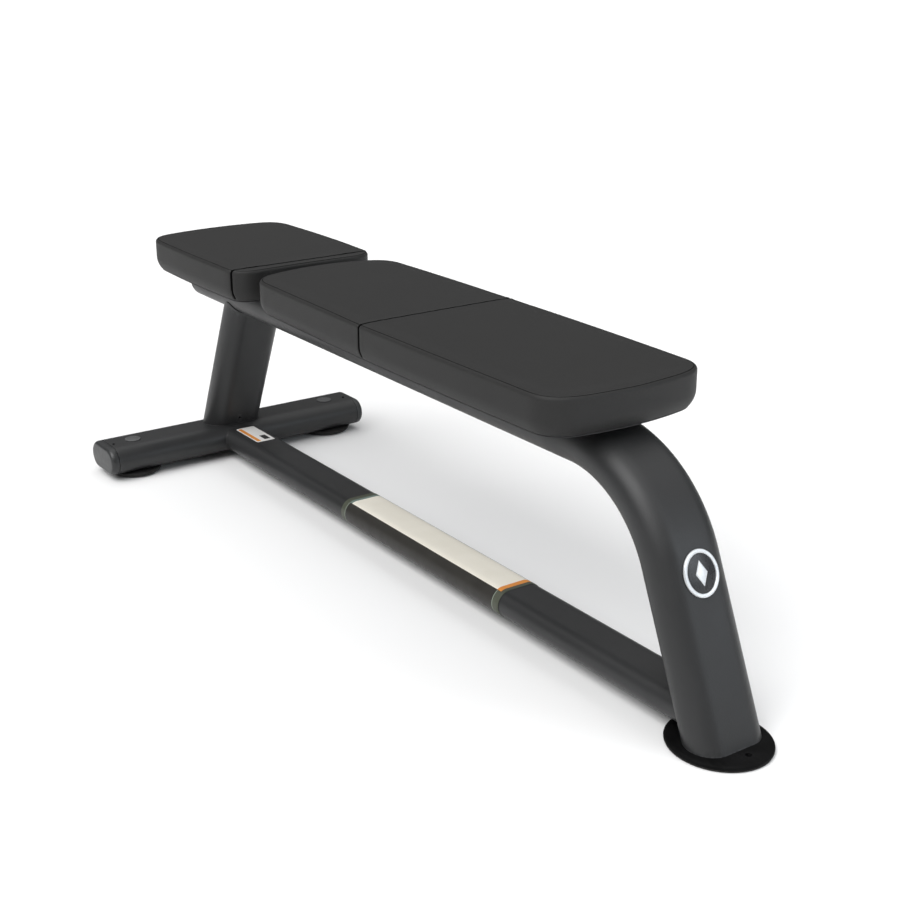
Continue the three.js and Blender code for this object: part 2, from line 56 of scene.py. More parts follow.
SEAT = 0.3
WALL = 3.0
MAIN_TUBE_THICK = 64.0
BEND_RADIUS = 195.0
FRONT_RAKE = 0.43
REAR_LEG_THICK = 63.0
REAR_LEG_WIDE = 112.0
REAR_RAKE = 0.46
REAR_LEG_SETBACK = 17.5
DRAIN_ABOVE = 25.0
DRAIN_RADIUS = 3.0
PLUG_HOLE_RADIUS = 12.5
SCREW_HOLE_RADIUS = 1.8
BOLT_HOLE_RADIUS = 4.3
WELD = 0.8
EDGE_BAND = 1.5
LEG_TOP_GAP = 1.0
LEG_TOP_GAP_REAR = 2.6

FOOT_RIM_DROP = 3.5
FOOT_RIM_IN = 6.0
ANCHOR_RADIUS = 4.5
ANCHOR_FROM_EDGE = 22.0

RUBBER_FOOT_BOTTOM = 40.0
RUBBER_FOOT_RECESS = 12.0
RUBBER_FOOT_RECESS_DEPTH = 6.2
RUBBER_FOOT_GROOVES = (18.0, 24.0, 30.0)
PLUG_BARREL_RADIUS = 11.7
BOLT_FLATS = 13.0
BOLT_SHAFT_RADIUS = 4.0
FOOT_BOLT_HEAD = 3.6
PAD_BOLT_HEAD = 5.3
COVER_HOLE_RADIUS = 5.0
PLATE_CORNER = 7.0

CUSHION_CROWN = 6.0
CUSHION_TAPER_IN = 7.6
CUSHION_TAPER_HEIGHT = 21.0
BOARD_POCKET_INSET = 13.7
BOARD_POCKET_DEPTH = 15.3
COVER_INSET = 9.0
SEAM_CREASE_ANGLE = 60.0
SEAM_OFFSETS = (0.0, 0.5, 1.0, 1.6, 2.4, 3.6, 5.2)
SEAM_DEPTH = 2.2
SEAM_WIDTH = 2.0
CREASE_DEPTH = 0.8
CREASE_WIDTH = 0.6
# The next two place the painted seam shade: the crease weight where it starts, and its half-width in mm about
# the seam.
CREASE_SHADE_FROM = 0.6
SEAM_SHADE_HALF = 2.1
ROLL_HEIGHT = 0.5
ROLL_AT = 5.0
ROLL_WIDTH = 4.0
GATHER_DEPTH = 0.16
GATHER_PITCH = 4.4
GATHER_DRIFT = 17.0
GATHER_WIDTH = 9.0
SKIN_SPACING = 5.5
COARSE_SPACING = 9.0
END_BLEND = 120.0

END_CAP_RIM = 6.5
END_CAP_DOME_IN = 7.0
END_CAP_SPIGOT = 20.0
BEAM_CAP_RIM = 4.0
BEAM_CAP_DOME = 6.0
BEAM_CAP_DOME_IN = 6.0
BEAM_CAP_SPIGOT = 18.0
HEAD_PAD_LENGTH = 369.0

PADS = {
    "main_pad": dict(
        rear_half=134, middle_half=143, front_half=137, rear_bow=30, front_bow=20,
        rear_corner=38, front_corner=42, seam_from_rear=377, mounts=2,
    ),
    "head_pad": dict(
        rear_half=136, middle_half=142, front_half=137, rear_bow=18, front_bow=-8,
        rear_corner=42, front_corner=48, seam_from_rear=348, mounts=1,
    ),
}


def box_mm(node):
    low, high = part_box(node)
    return np.array(low) / MM, np.array(high) / MM


def middle_mm(node):
    low, high = box_mm(node)
    return (low + high) / 2


def size_mm(node):
    low, high = box_mm(node)
    return high - low


def stand_mm(node):
    """A node's lowest and highest corners, and the x and y of its middle."""
    low, high = box_mm(node)
    return low, high, *((low + high)[:2] / 2)


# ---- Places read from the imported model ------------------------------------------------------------

CROSS = middle_mm("rear_cross_tube")
CROSS_SIZE = size_mm("rear_cross_tube")
CROSS_TOP = box_mm("rear_cross_tube")[1][2]
STRETCHER_SIZE = size_mm("lower_stretcher_tube")
BEAM_REAR = box_mm("main_frame_tube")[0][0]
BEAM_TOP = box_mm("main_frame_tube")[1][2]
BEAM_Z = BEAM_TOP - MAIN_TUBE_THICK / 2
MAIN_TUBE_WIDE = size_mm("main_frame_tube")[1]
LEG_FOOT_Z = box_mm("main_frame_tube")[0][2]
FRONT_ANGLE = math.atan(FRONT_RAKE)
LEG_FLOOR_X = (
    box_mm("main_frame_tube")[1][0]
    - MAIN_TUBE_THICK / 2 / math.cos(FRONT_ANGLE)
    + FRONT_RAKE * LEG_FOOT_Z
)
REAR_LEG_X = CROSS[0] - REAR_LEG_SETBACK


# ---- Mesh helpers ---------------------------------------------------------------------------------


def round_angles(count):
    return np.linspace(0, 2 * math.pi, count, endpoint=False)


def quarter(steps, first=0):
    """Angles in equal steps over a quarter turn."""
    return [math.pi / 2 * k / steps for k in range(first, steps + 1)]


def mesh_from(name, points, faces, merge=True):
    """A mesh from points in mm with its normals outward; merge joins points in the same place."""
    mesh = bpy.data.meshes.new(name)
    mesh.from_pydata((np.asarray(points, float) * MM).tolist(), [], faces)
    work = bmesh.new()
    work.from_mesh(mesh)
    if merge:
        bmesh.ops.remove_doubles(work, verts=work.verts, dist=1e-7)
    bmesh.ops.recalc_face_normals(work, faces=work.faces)
    work.to_mesh(mesh)
    work.free()
    return mesh


def shade(mesh, sharp_degrees=35):
    mesh.shade_smooth()
    mesh.set_sharp_from_angle(angle=math.radians(sharp_degrees))


def plain_object(name, data):
    made = bpy.data.objects.new(name, data)
    bpy.context.scene.collection.objects.link(made)
    return made


def make_piece(name, mesh, materials, nodes=(), sharp_degrees=35):
    """A finished piece: smooth, with its materials, riding on the root body."""
    mesh.materials.clear()
    for material in materials if isinstance(materials, (list, tuple)) else [materials]:
        mesh.materials.append(material)
    shade(mesh, sharp_degrees)
    piece = plain_object(name, mesh)
    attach(piece, "root")
    if nodes:
        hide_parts(*nodes)
    return piece


def loft_faces(rings, points, loop=False, caps=True):
    """Faces between rings of points each, closed round; the ends are capped, or joined if loop."""
    faces = []
    for i in range(rings if loop else rings - 1):
        here, there = i * points, (i + 1) % rings * points
        for k in range(points):
            after = (k + 1) % points
            faces.append((here + k, here + after, there + after, there + k))
    if caps and not loop:
        faces.append(tuple(range(points))[::-1])
        faces.append(tuple(range((rings - 1) * points, rings * points)))
    return faces


def loft(name, rings, loop=False, caps=True):
    rings = np.asarray(rings, float)
    count, points = rings.shape[:2]
    return mesh_from(name, rings.reshape(-1, 3), loft_faces(count, points, loop, caps))


def flat_oval(size_u, size_v, arc_steps=20, flat_steps=6):
    """Points round a flat oval, anticlockwise, with half circles across its longer side."""
    long, short = max(size_u, size_v), min(size_u, size_v)
    radius, reach = short / 2, (long - short) / 2
    points = []
    for side in (1, -1):
        for k in range(arc_steps + 1):
            angle = -math.pi / 2 + math.pi * k / arc_steps
            points.append((side * (reach + radius * math.cos(angle)), side * radius * math.sin(angle)))
        for k in range(1, flat_steps):
            points.append((side * reach * (1 - 2 * k / flat_steps), side * radius))
    points = np.array(points)
    if size_v > size_u:
        points = np.stack([-points[:, 1], points[:, 0]], axis=1)
    return points


def oval_distance(long_way, short_way, long_size, short_size):
    """Distance from the surface of a flat oval bar, negative inside it."""
    radius = short_size / 2
    past = np.maximum(np.abs(long_way) - (long_size / 2 - radius), 0)
    return np.hypot(past, short_way) - radius


def outward(ring):
    """Unit outward normals of an anticlockwise 2-D ring."""
    tangent = np.roll(ring, -1, axis=0) - np.roll(ring, 1, axis=0)
    normal = np.stack([tangent[:, 1], -tangent[:, 0]], axis=1)
    return normal / np.linalg.norm(normal, axis=1)[:, None]


def slide(points, direction, distance, near, far):
    """Moves each point along direction to where distance() changes sign between near and far."""
    low = np.full(len(points), float(near))
    high = np.full(len(points), float(far))
    low_sign = distance(points + low[:, None] * direction) > 0
    for _ in range(50):
        half = (low + high) / 2
        same = (distance(points + half[:, None] * direction) > 0) == low_sign
        low = np.where(same, half, low)
        high = np.where(same, high, half)
    return points + ((low + high) / 2)[:, None] * direction


def place(ring, origin, along_u, along_v):
    return origin + ring[:, :1] * along_u + ring[:, 1:] * along_v


def lathe(name, profile, centre, segments=64):
    """A turned piece about a vertical axis from (radius, height) points; closed at the axis or a ring."""
    solid = profile[0][0] == 0 and profile[-1][0] == 0
    angles = round_angles(segments)
    rings = []
    for radius, height in profile:
        circle = np.stack([radius * np.cos(angles), radius * np.sin(angles)], axis=1)
        rings.append(np.column_stack([circle, np.full(segments, height)]) + np.asarray(centre))
    return loft(name, rings, loop=not solid, caps=False)


def apply_modifiers(piece):
    graph = bpy.context.evaluated_depsgraph_get()
    made = bpy.data.meshes.new_from_object(piece.evaluated_get(graph))
    piece.modifiers.clear()
    piece.data = made


def rod_mesh(start, direction, radius, length, segments=48):
    direction = np.asarray(direction, float) / np.linalg.norm(direction)
    across = np.array([0.0, 1.0, 0.0])
    if abs(direction[1]) > 0.9:
        across = np.array([1.0, 0.0, 0.0])
    other = np.cross(direction, across)
    angles = round_angles(segments)
    ring = radius * (np.outer(np.cos(angles), across) + np.outer(np.sin(angles), other))
    start = np.asarray(start, float)
    return loft("cutter", [ring + start, ring + start + direction * length])


def drill(piece, cutter_meshes):
    for mesh in cutter_meshes:
        cutter = plain_object("cutter", mesh)
        hole = piece.modifiers.new("hole", "BOOLEAN")
        hole.object = cutter
        hole.operation = "DIFFERENCE"
        hole.solver = "EXACT"
        apply_modifiers(piece)
        bpy.data.objects.remove(cutter)
    shade(piece.data)
    return piece


def score(mesh, axis, values):
    """Cuts edges into a mesh along planes across an axis, so that colours can meet there."""
    work = bmesh.new()
    work.from_mesh(mesh)
    for value in values:
        normal = Vector([float(i == axis) for i in range(3)])
        everything = work.verts[:] + work.edges[:] + work.faces[:]
        bmesh.ops.bisect_plane(work, geom=everything, plane_co=normal * value * MM, plane_no=normal)
    work.to_mesh(mesh)
    work.free()


def colour_faces(mesh, choose):
    """Gives each face the material index that choose(centre in mm, normal) returns."""
    for face in mesh.polygons:
        face.material_index = choose(np.array(face.center) / MM, face.normal)


# ---- Material helpers -----------------------------------------------------------------------------


def add_node(tree, kind, inputs=(), **settings):
    """A shader node with each input linked to a socket or set to a value."""
    made = tree.nodes.new(kind)
    for key, value in settings.items():
        setattr(made, key, value)
    for socket, value in dict(inputs).items():
        if isinstance(value, bpy.types.NodeSocket):
            tree.links.new(value, made.inputs[socket])
        else:
            made.inputs[socket].default_value = value
    return made


class Finish:
    """A Principled material built up in layers from procedural textures in object space."""

    def __init__(self, name, colour, roughness, **constants):
        self.material = bpy.data.materials.new(name)
        self.material.use_nodes = True
        self.tree = self.material.node_tree
        self.shader = self.tree.nodes["Principled BSDF"]
        for socket, value in constants.items():
            self.shader.inputs[socket.replace("_", " ")].default_value = value
        self.material.diffuse_color = (*colour, 1)
        self.colour = (*colour, 1)
        self.roughness = roughness
        self.normal = None
        self.position = self.node("ShaderNodeTexCoord").outputs["Object"]

    def node(self, kind, inputs=(), **settings):
        return add_node(self.tree, kind, inputs, **settings)

    def stretched(self, stretch):
        if stretch == (1, 1, 1):
            return self.position
        scale = {"Vector": self.position, "Scale": stretch}
        return self.node("ShaderNodeMapping", scale).outputs["Vector"]

    def noise(self, size, detail=3, stretch=(1, 1, 1), low=0.35, high=0.65):
        """Soft noise with features about size mm across, as a mask from 0 to 1."""
        inputs = {"Vector": self.stretched(stretch), "Scale": 1 / (size * MM), "Detail": detail}
        value = self.node("ShaderNodeTexNoise", inputs).outputs["Fac"]
        return self.ramp(value, low, high)

    def cells(self, size, feature="F1", stretch=(1, 1, 1), low=0.0, high=1.0):
        inputs = {"Vector": self.stretched(stretch), "Scale": 1 / (size * MM)}
        made = self.node("ShaderNodeTexVoronoi", inputs, feature=feature)
        return self.ramp(made.outputs["Distance"], low, high)

    def ramp(self, value, low, high, start=0.0, end=1.0):
        inputs = {"Value": value, "From Min": low, "From Max": high, "To Min": start, "To Max": end}
        return self.node("ShaderNodeMapRange", inputs).outputs["Result"]

    def height(self, low, high):
        """0 at low mm above the floor and 1 at high mm, from the place on the object alone."""
        split = self.node("ShaderNodeSeparateXYZ", {"Vector": self.position})
        return self.ramp(split.outputs["Z"], low * MM, high * MM)

    def edges(self, low=0.52, high=0.6):
        """Where the shape is sharply convex, for worn edges."""
        return self.ramp(self.node("ShaderNodeNewGeometry").outputs["Pointiness"], low, high)

    def times(self, a, b):
        return self.node("ShaderNodeMath", {0: a, 1: b}, operation="MULTIPLY").outputs[0]

    def tint(self, mask, colour, share=1.0):
        """Mixes colour in by share where mask is 1."""
        if share != 1.0:
            mask = self.times(mask, share)
        inputs = {"Fac": mask, "Color1": self.colour, "Color2": (*colour, 1)}
        self.colour = self.node("ShaderNodeMixRGB", inputs).outputs["Color"]
        return self

    def worn_edges(self, size, colour, share):
        """Wear in patches about size mm across, along the convex edges."""
        return self.tint(self.times(self.edges(), self.noise(size)), colour, share)

    def dust(self, low, high, patches, colour, share):
        """Dust in patches that thin out from low to high mm above the floor."""
        near_floor = self.ramp(self.height(low, high), 0, 1, 1, 0)
        return self.tint(self.times(near_floor, patches), colour, share)

    def gloss(self, mask, roughness):
        """Moves the roughness to this value where mask is 1."""
        inputs = {"Value": mask, "To Min": self.roughness, "To Max": roughness}
        self.roughness = self.node("ShaderNodeMapRange", inputs).outputs["Result"]
        return self

    def bump(self, mask, depth):
        """Adds relief of depth mm where mask goes from 0 to 1."""
        inputs = {"Height": mask, "Distance": depth * MM, "Strength": 1.0}
        if self.normal is not None:
            inputs["Normal"] = self.normal
        self.normal = self.node("ShaderNodeBump", inputs).outputs["Normal"]
        return self

    def done(self):
        for socket, value in (("Base Color", self.colour), ("Roughness", self.roughness)):
            if isinstance(value, bpy.types.NodeSocket):
                self.tree.links.new(value, self.shader.inputs[socket])
            else:
                self.shader.inputs[socket].default_value = value
        if self.normal is not None:
            self.tree.links.new(self.normal, self.shader.inputs["Normal"])
        return self.material


# ---- Materials ------------------------------------------------------------------------------------


def powder_coat():
    finish = Finish("powder_coat", (0.021, 0.0215, 0.022), 0.40, Specular_IOR_Level=0.42)
    finish.tint(finish.noise(160), (0.027, 0.0275, 0.029), 0.6)
    finish.tint(finish.noise(0.9, 2, low=0.62, high=0.75), (0.034, 0.035, 0.037), 0.3)
    finish.dust(6, 120, finish.noise(24, 6), (0.028, 0.027, 0.025), 0.12)
    finish.worn_edges(5, (0.09, 0.092, 0.095), 0.5)
    finish.gloss(finish.noise(70, 5), 0.47)
    finish.bump(finish.noise(2.6, 2), 0.035)
    finish.bump(finish.noise(0.6, 2), 0.016)
    return finish.done()


def black_steel():
    finish = Finish("black_steel", (0.003, 0.003, 0.0031), 0.6, Specular_IOR_Level=0.05)
    finish.tint(finish.noise(40), (0.006, 0.006, 0.0062))
    finish.worn_edges(3, (0.02, 0.02, 0.021), 0.4)
    scuffs = finish.noise(14, 6, (1, 6, 1), 0.56, 0.74)
    finish.tint(scuffs, (0.012, 0.0118, 0.0112), 0.4)
    finish.gloss(scuffs, 0.62)
    finish.bump(finish.noise(1.6, 3), 0.03)
    return finish.done()


def rubber():
    finish = Finish("rubber", (0.010, 0.010, 0.010), 0.78, Specular_IOR_Level=0.35)
    finish.tint(finish.noise(18, 5), (0.018, 0.0175, 0.017))
    finish.dust(0, 9, finish.noise(6, 5), (0.07, 0.066, 0.06), 0.3)
    finish.gloss(finish.noise(9), 0.9)
    finish.bump(finish.noise(0.7, 3), 0.05)
    finish.bump(finish.noise(5, 2), 0.06)
    return finish.done()


def moulded_plastic(name, low, high, roughness):
    finish = Finish(name, low, roughness, Specular_IOR_Level=0.45)
    finish.tint(finish.noise(30, 4), high)
    finish.gloss(finish.noise(12, 4), roughness + 0.08)
    finish.worn_edges(2, tuple(2.2 * c for c in high), 0.4)
    finish.bump(finish.cells(0.55), 0.018)
    finish.bump(finish.noise(0.3, 2), 0.01)
    return finish.done()


def vinyl():
    """Satin black upholstery vinyl with a fine pebbled grain."""
    finish = Finish("vinyl", (0.0190, 0.0188, 0.0185), 0.50, Specular_IOR_Level=0.32)
    finish.tint(finish.noise(120, 3), (0.0202, 0.0200, 0.0197))
    valleys = finish.cells(1.15, "DISTANCE_TO_EDGE", low=0.0, high=0.22)
    # Painted shade: the grain's valleys are darkened in colour.
    finish.tint(finish.ramp(valleys, 0, 1, 1, 0), (0.012, 0.012, 0.012), 0.45)
    finish.gloss(finish.noise(55, 5), 0.52)
    finish.gloss(finish.ramp(valleys, 0, 1, 0.5, 0), 0.75)
    finish.bump(valleys, 0.07)
    finish.bump(finish.noise(0.45, 3), 0.03)
    finish.bump(finish.noise(7, 3), 0.015)
    return finish.done()


def painted_seam_shade():
    """Painted shade: a near-black finish on the seam's groove and on the crease round the top's edge, where
    shade falls.
    """
    finish = Finish("painted_seam_shade", (0.002, 0.002, 0.002), 0.95, Specular_IOR_Level=0.02)
    finish.tint(finish.noise(2.2, 2), (0.004, 0.004, 0.004))
    finish.gloss(finish.noise(4, 3), 1.0)
    finish.bump(finish.noise(1.1, 2), 0.05)
    return finish.done()


def base_cloth():
    """The black non-woven cover under each pad."""
    finish = Finish("base_cover", (0.020, 0.020, 0.021), 0.62, Specular_IOR_Level=0.4)
    finish.tint(finish.noise(1.2, 5, (1, 3, 1)), (0.034, 0.034, 0.036))
    finish.gloss(finish.noise(20, 4), 0.7)
    finish.bump(finish.noise(0.8, 4, (1, 2, 1)), 0.05)
    return finish.done()


def plywood():
    finish = Finish("plywood", (0.42, 0.27, 0.13), 0.72)
    grain = finish.noise(3.0, 5, (0.06, 1, 1))
    finish.tint(grain, (0.28, 0.16, 0.07), 0.7)
    plies = finish.noise(1.5, 0, (0.001, 0.001, 1), 0.45, 0.55)
    finish.tint(plies, (0.22, 0.12, 0.05), 0.6)
    finish.bump(grain, 0.08)
    return finish.done()


def zinc():
    finish = Finish("zinc_steel", (0.50, 0.51, 0.53), 0.30, Metallic=1.0)
    finish.tint(finish.cells(3.5, low=0.2, high=0.9), (0.60, 0.60, 0.60))
    finish.tint(finish.noise(6, 5, low=0.55, high=0.8), (0.34, 0.33, 0.31), 0.5)
    finish.gloss(finish.noise(4, 5), 0.46)
    finish.bump(finish.noise(0.5, 3, (1, 1, 8)), 0.012)
    return finish.done()


def badge_silver():
    finish = Finish("badge_silver", (0.70, 0.72, 0.74), 0.30, Metallic=0.55)
    brushed = finish.noise(0.35, 3, (1, 0.03, 1))
    finish.tint(brushed, (0.82, 0.84, 0.85), 0.6)
    finish.gloss(finish.noise(7, 4), 0.40)
    finish.tint(finish.noise(3, 5, low=0.6, high=0.8), (0.5, 0.51, 0.52), 0.25)
    finish.bump(brushed, 0.008)
    return finish.done()


def film(name, low, high, roughness=0.42):
    """Printed vinyl film: a faint print mottle, soft creases and an orange-peel surface."""
    finish = Finish(name, low, roughness, Specular_IOR_Level=0.4)
    finish.tint(finish.noise(35, 4), high)
    finish.tint(finish.noise(0.5, 2, low=0.55, high=0.7), tuple(0.86 * c for c in low), 0.4)
    finish.gloss(finish.noise(18, 5), roughness + 0.1)
    finish.bump(finish.noise(3.5, 2), 0.025)
    finish.bump(finish.noise(26, 3, (0.4, 1, 1)), 0.06)
    return finish.done()


POWDER_COAT = powder_coat()
BLACK_STEEL = black_steel()
RUBBER = rubber()
CAP_PLASTIC = moulded_plastic("cap_plastic", (0.024, 0.025, 0.026), (0.030, 0.031, 0.032), 0.34)
PLUG_PLASTIC = moulded_plastic("plug_plastic", (0.078, 0.080, 0.081), (0.090, 0.092, 0.093), 0.40)
VINYL = vinyl()
PAINTED_SEAM_SHADE = painted_seam_shade()
BASE_COVER = base_cloth()
PLYWOOD = plywood()
ZINC = zinc()
BADGE_SILVER = badge_silver()
BADGE_ENAMEL = moulded_plastic("badge_enamel", (0.020, 0.021, 0.023), (0.026, 0.027, 0.029), 0.25)
WRAP_DARK = film("wrap_dark", (0.022, 0.020, 0.017), (0.028, 0.026, 0.022))
WRAP_BAND = film("wrap_band", (0.066, 0.073, 0.052), (0.078, 0.086, 0.062))
WRAP_LINE = film("wrap_line", (0.24, 0.28, 0.23), (0.27, 0.31, 0.26))
WRAP_TEAL = film("wrap_teal", (0.145, 0.205, 0.180), (0.16, 0.22, 0.195))
WRAP_CREAM = film("wrap_cream", (0.84, 0.80, 0.70), (0.87, 0.83, 0.735))
FILM_ORANGE = film("film_orange", (0.70, 0.25, 0.045), (0.75, 0.29, 0.06))
FILM_WHITE = film("film_white", (0.72, 0.71, 0.69), (0.78, 0.77, 0.75))
FILM_BLACK = film("film_black", (0.018, 0.018, 0.018), (0.024, 0.024, 0.024))


# ---- Steel frame ----------------------------------------------------------------------------------

X_AXIS = np.array([1.0, 0.0, 0.0])
Y_AXIS = np.array([0.0, 1.0, 0.0])
Z_AXIS = np.array([0.0, 0.0, 1.0])


def main_tube_rings(grow, bend_steps=56):
    """Rings of the bent main tube, from its rear end to the foot plate, grown by grow mm."""
    ring = flat_oval(MAIN_TUBE_WIDE + 2 * grow, MAIN_TUBE_THICK + 2 * grow)
    turn = math.pi / 2 - FRONT_ANGLE
    corner_x = LEG_FLOOR_X - FRONT_RAKE * BEAM_Z
    bend_x = corner_x - BEND_RADIUS * math.tan(turn / 2)
    centre = np.array([bend_x, 0, BEAM_Z - BEND_RADIUS])
    stations = [BEAM_REAR, *np.linspace(BEAM_REAR + EDGE_BAND, bend_x, 24)[:-1]]
    rings = [place(ring, np.array([x, 0, BEAM_Z]), Y_AXIS, Z_AXIS) for x in stations]
    for k in range(bend_steps + 1):
        angle = turn * k / bend_steps
        normal = np.array([math.sin(angle), 0, math.cos(angle)])
        rings.append(place(ring, centre + BEND_RADIUS * normal, Y_AXIS, normal))
    down = np.array([math.cos(turn), 0, -math.sin(turn)])
    bend_end = rings[-1]
    reach = (bend_end[:, 2] - LEG_FOOT_Z) / -down[2]
    for share in [*np.linspace(0, 1, 13)[1:-1], 0.99, 1.0]:
        rings.append(bend_end + share * reach[:, None] * down)
    return rings


def make_main_tube():
    outer = main_tube_rings(0)
    inner = main_tube_rings(-WALL)
    mesh = loft("main_frame_tube_body", outer + inner[::-1], loop=True)
    return make_piece("main_frame", mesh, POWDER_COAT, ["main_frame_tube"])


def on_cross_tube(points):
    distance = oval_distance(points[:, 0] - CROSS[0], points[:, 2] - CROSS[2], CROSS_SIZE[0], CROSS_SIZE[2])
    return distance - SEAT


def on_beam(points):
    return oval_distance(points[:, 1], points[:, 2] - BEAM_Z, MAIN_TUBE_WIDE, MAIN_TUBE_THICK) - SEAT


def under_beam(points):
    """The rear leg's cut end: close under the beam in front and a little open behind."""
    middle = REAR_LEG_X + REAR_RAKE * (BEAM_Z - MAIN_TUBE_THICK / 2 - CROSS[2])
    behind = np.clip((middle - points[:, 0]) / (REAR_LEG_THICK / 2), 0, 1)
    return on_beam(points) - LEG_TOP_GAP - LEG_TOP_GAP_REAR * behind


def on_front_leg(points):
    across = (points[:, 0] - LEG_FLOOR_X + FRONT_RAKE * points[:, 2]) * math.cos(FRONT_ANGLE)
    return oval_distance(points[:, 1], across, MAIN_TUBE_WIDE, MAIN_TUBE_THICK) - SEAT


def weld_rings(ring, normals, sizes, origin, axes, direction, neighbour, near, far):
    """Rings of a small concave fillet, from the neighbour's surface up onto the bar."""
    rings = []
    for angle in quarter(6):
        flare = ring + normals * (sizes * (1 - math.sin(angle)))[:, None]
        landed = slide(place(flare, origin, *axes), direction, neighbour, near, far)
        rings.append(landed + direction * (sizes * (1 - math.cos(angle)))[:, None])
    return rings


def weld_sizes(ring, normals, origin, axes, direction, neighbour, near, far):
    """The fillet size at each point: WELD, or less where the neighbour's surface falls away."""
    sizes = np.full(len(ring), WELD)
    for share in (1.0, 0.75, 0.5, 0.25):
        flare = place(ring + normals * (WELD * share + 0.6), origin, *axes)
        misses = (neighbour(flare + direction * near) > 0) == (neighbour(flare + direction * far) > 0)
        sizes[misses] = WELD * max(share - 0.25, 0.05)
    for _ in range(6):
        sizes = np.minimum(sizes, (np.roll(sizes, 1) + sizes + np.roll(sizes, -1)) / 3)
    return sizes


def coped_tube(name, size_u, size_v, origin, axes, direction, length, start, end, end_weld=True):
    """A flat oval tube between two neighbours, with its ends shaped to fit them."""
    ring = flat_oval(size_u, size_v)
    inner = flat_oval(size_u - 2 * WALL, size_v - 2 * WALL)
    normals = outward(ring)
    half = length / 2
    start_sizes = weld_sizes(ring, normals, origin, axes, direction, start, 0, half)
    first = weld_rings(ring, normals, start_sizes, origin, axes, direction, start, 0, half)
    far_point = origin + direction * length
    if end_weld:
        end_sizes = weld_sizes(ring, normals, far_point, axes, -direction, end, 0, half)
        last = weld_rings(ring, normals, end_sizes, far_point, axes, -direction, end, 0, half)
    else:
        last = [slide(place(ring, far_point, *axes), -direction, end, 0, half)]
    inner_end = slide(place(inner, far_point, *axes), -direction, end, 0, half)
    inner_start = slide(place(inner, origin, *axes), direction, start, 0, half)
    middle = [first[-1] + share * (last[-1] - first[-1]) for share in np.linspace(0, 1, 26)[1:-1]]
    rings = first + middle + last[::-1] + [inner_end, inner_start]
    return loft(name, rings, loop=True)


def make_rear_leg():
    direction = np.array([REAR_RAKE, 0, 1]) / math.hypot(REAR_RAKE, 1)
    along_u = np.cross(Y_AXIS, direction)
    origin = np.array([REAR_LEG_X, 0, CROSS[2]])
    length = (BEAM_Z - CROSS[2]) * math.hypot(REAR_RAKE, 1)
    mesh = coped_tube(
        "rear_leg_body", REAR_LEG_THICK, REAR_LEG_WIDE, origin, (along_u, Y_AXIS),
        direction, length, on_cross_tube, under_beam, end_weld=False,
    )
    piece = make_piece("rear_leg", mesh, POWDER_COAT, ["rear_leg_tube"])
    rise = CROSS_SIZE[2] / 2 + DRAIN_ABOVE
    face = np.cross(direction, Y_AXIS) * -1
    start = origin + np.array([REAR_RAKE * rise, 0, rise])
    drill(piece, [rod_mesh(start, face, DRAIN_RADIUS, REAR_LEG_THICK)])
    return piece


def make_stretcher():
    origin = np.array([CROSS[0], 0, CROSS[2]])
    length = LEG_FLOOR_X - FRONT_RAKE * CROSS[2] - CROSS[0]
    mesh = coped_tube(
        "stretcher_body", STRETCHER_SIZE[1], STRETCHER_SIZE[2], origin, (Y_AXIS, Z_AXIS),
        X_AXIS, length, on_cross_tube, on_front_leg,
    )
    return make_piece("stretcher", mesh, POWDER_COAT, ["lower_stretcher_tube"])


def make_cross_tube():
    half = CROSS_SIZE[1] / 2
    rings = []
    stations = np.r_[-half, np.linspace(EDGE_BAND - half, half - EDGE_BAND, 53), half]
    for grow, ys in ((0, stations), (-WALL, stations[::-1])):
        ring = flat_oval(CROSS_SIZE[0] + 2 * grow, CROSS_SIZE[2] + 2 * grow)
        for y in ys:
            rings.append(place(ring, CROSS + y * Y_AXIS, X_AXIS, Z_AXIS))
    mesh = loft("cross_tube_body", rings, loop=True)
    piece = make_piece("cross_tube", mesh, POWDER_COAT, ["rear_cross_tube"])
    cutters = []
    for side in ("left", "right"):
        plug = middle_mm(f"access_plug_{side}")
        screw = middle_mm(f"end_cap_screw_{side}")
        top = CROSS_TOP - WALL - 2
        bottom = CROSS[2] - CROSS_SIZE[2] / 2 - 5
        cutters.append(rod_mesh((plug[0], plug[1], top), Z_AXIS, PLUG_HOLE_RADIUS, 12))
        cutters.append(rod_mesh((screw[0], screw[1], top), Z_AXIS, SCREW_HOLE_RADIUS, 12, 24))
        cutters.append(rod_mesh((plug[0], plug[1], bottom), Z_AXIS, BOLT_HOLE_RADIUS, 12))
    drill(piece, cutters)
    return piece


# ---- Front foot -----------------------------------------------------------------------------------


def ellipse_stack(name, node, levels, segments=144):
    """A stack of ellipses round a node's centre from (inset, height) levels, closed at both ends."""
    low, high = box_mm(node)
    centre, half = (low + high) / 2, (high - low) / 2
    angles = round_angles(segments)
    rings = []
    for inset, height in levels:
        x = centre[0] + (half[0] - inset) * np.cos(angles)
        y = centre[1] + (half[1] - inset) * np.sin(angles)
        rings.append(np.column_stack([x, y, np.full(segments, low[2] + height)]))
    return loft(name, rings)


def anchor_cutter(extra=0.0):
    high = box_mm("front_foot_plate")[1]
    return rod_mesh((high[0] - ANCHOR_FROM_EDGE, 0, -5), Z_AXIS, ANCHOR_RADIUS + extra, 30)


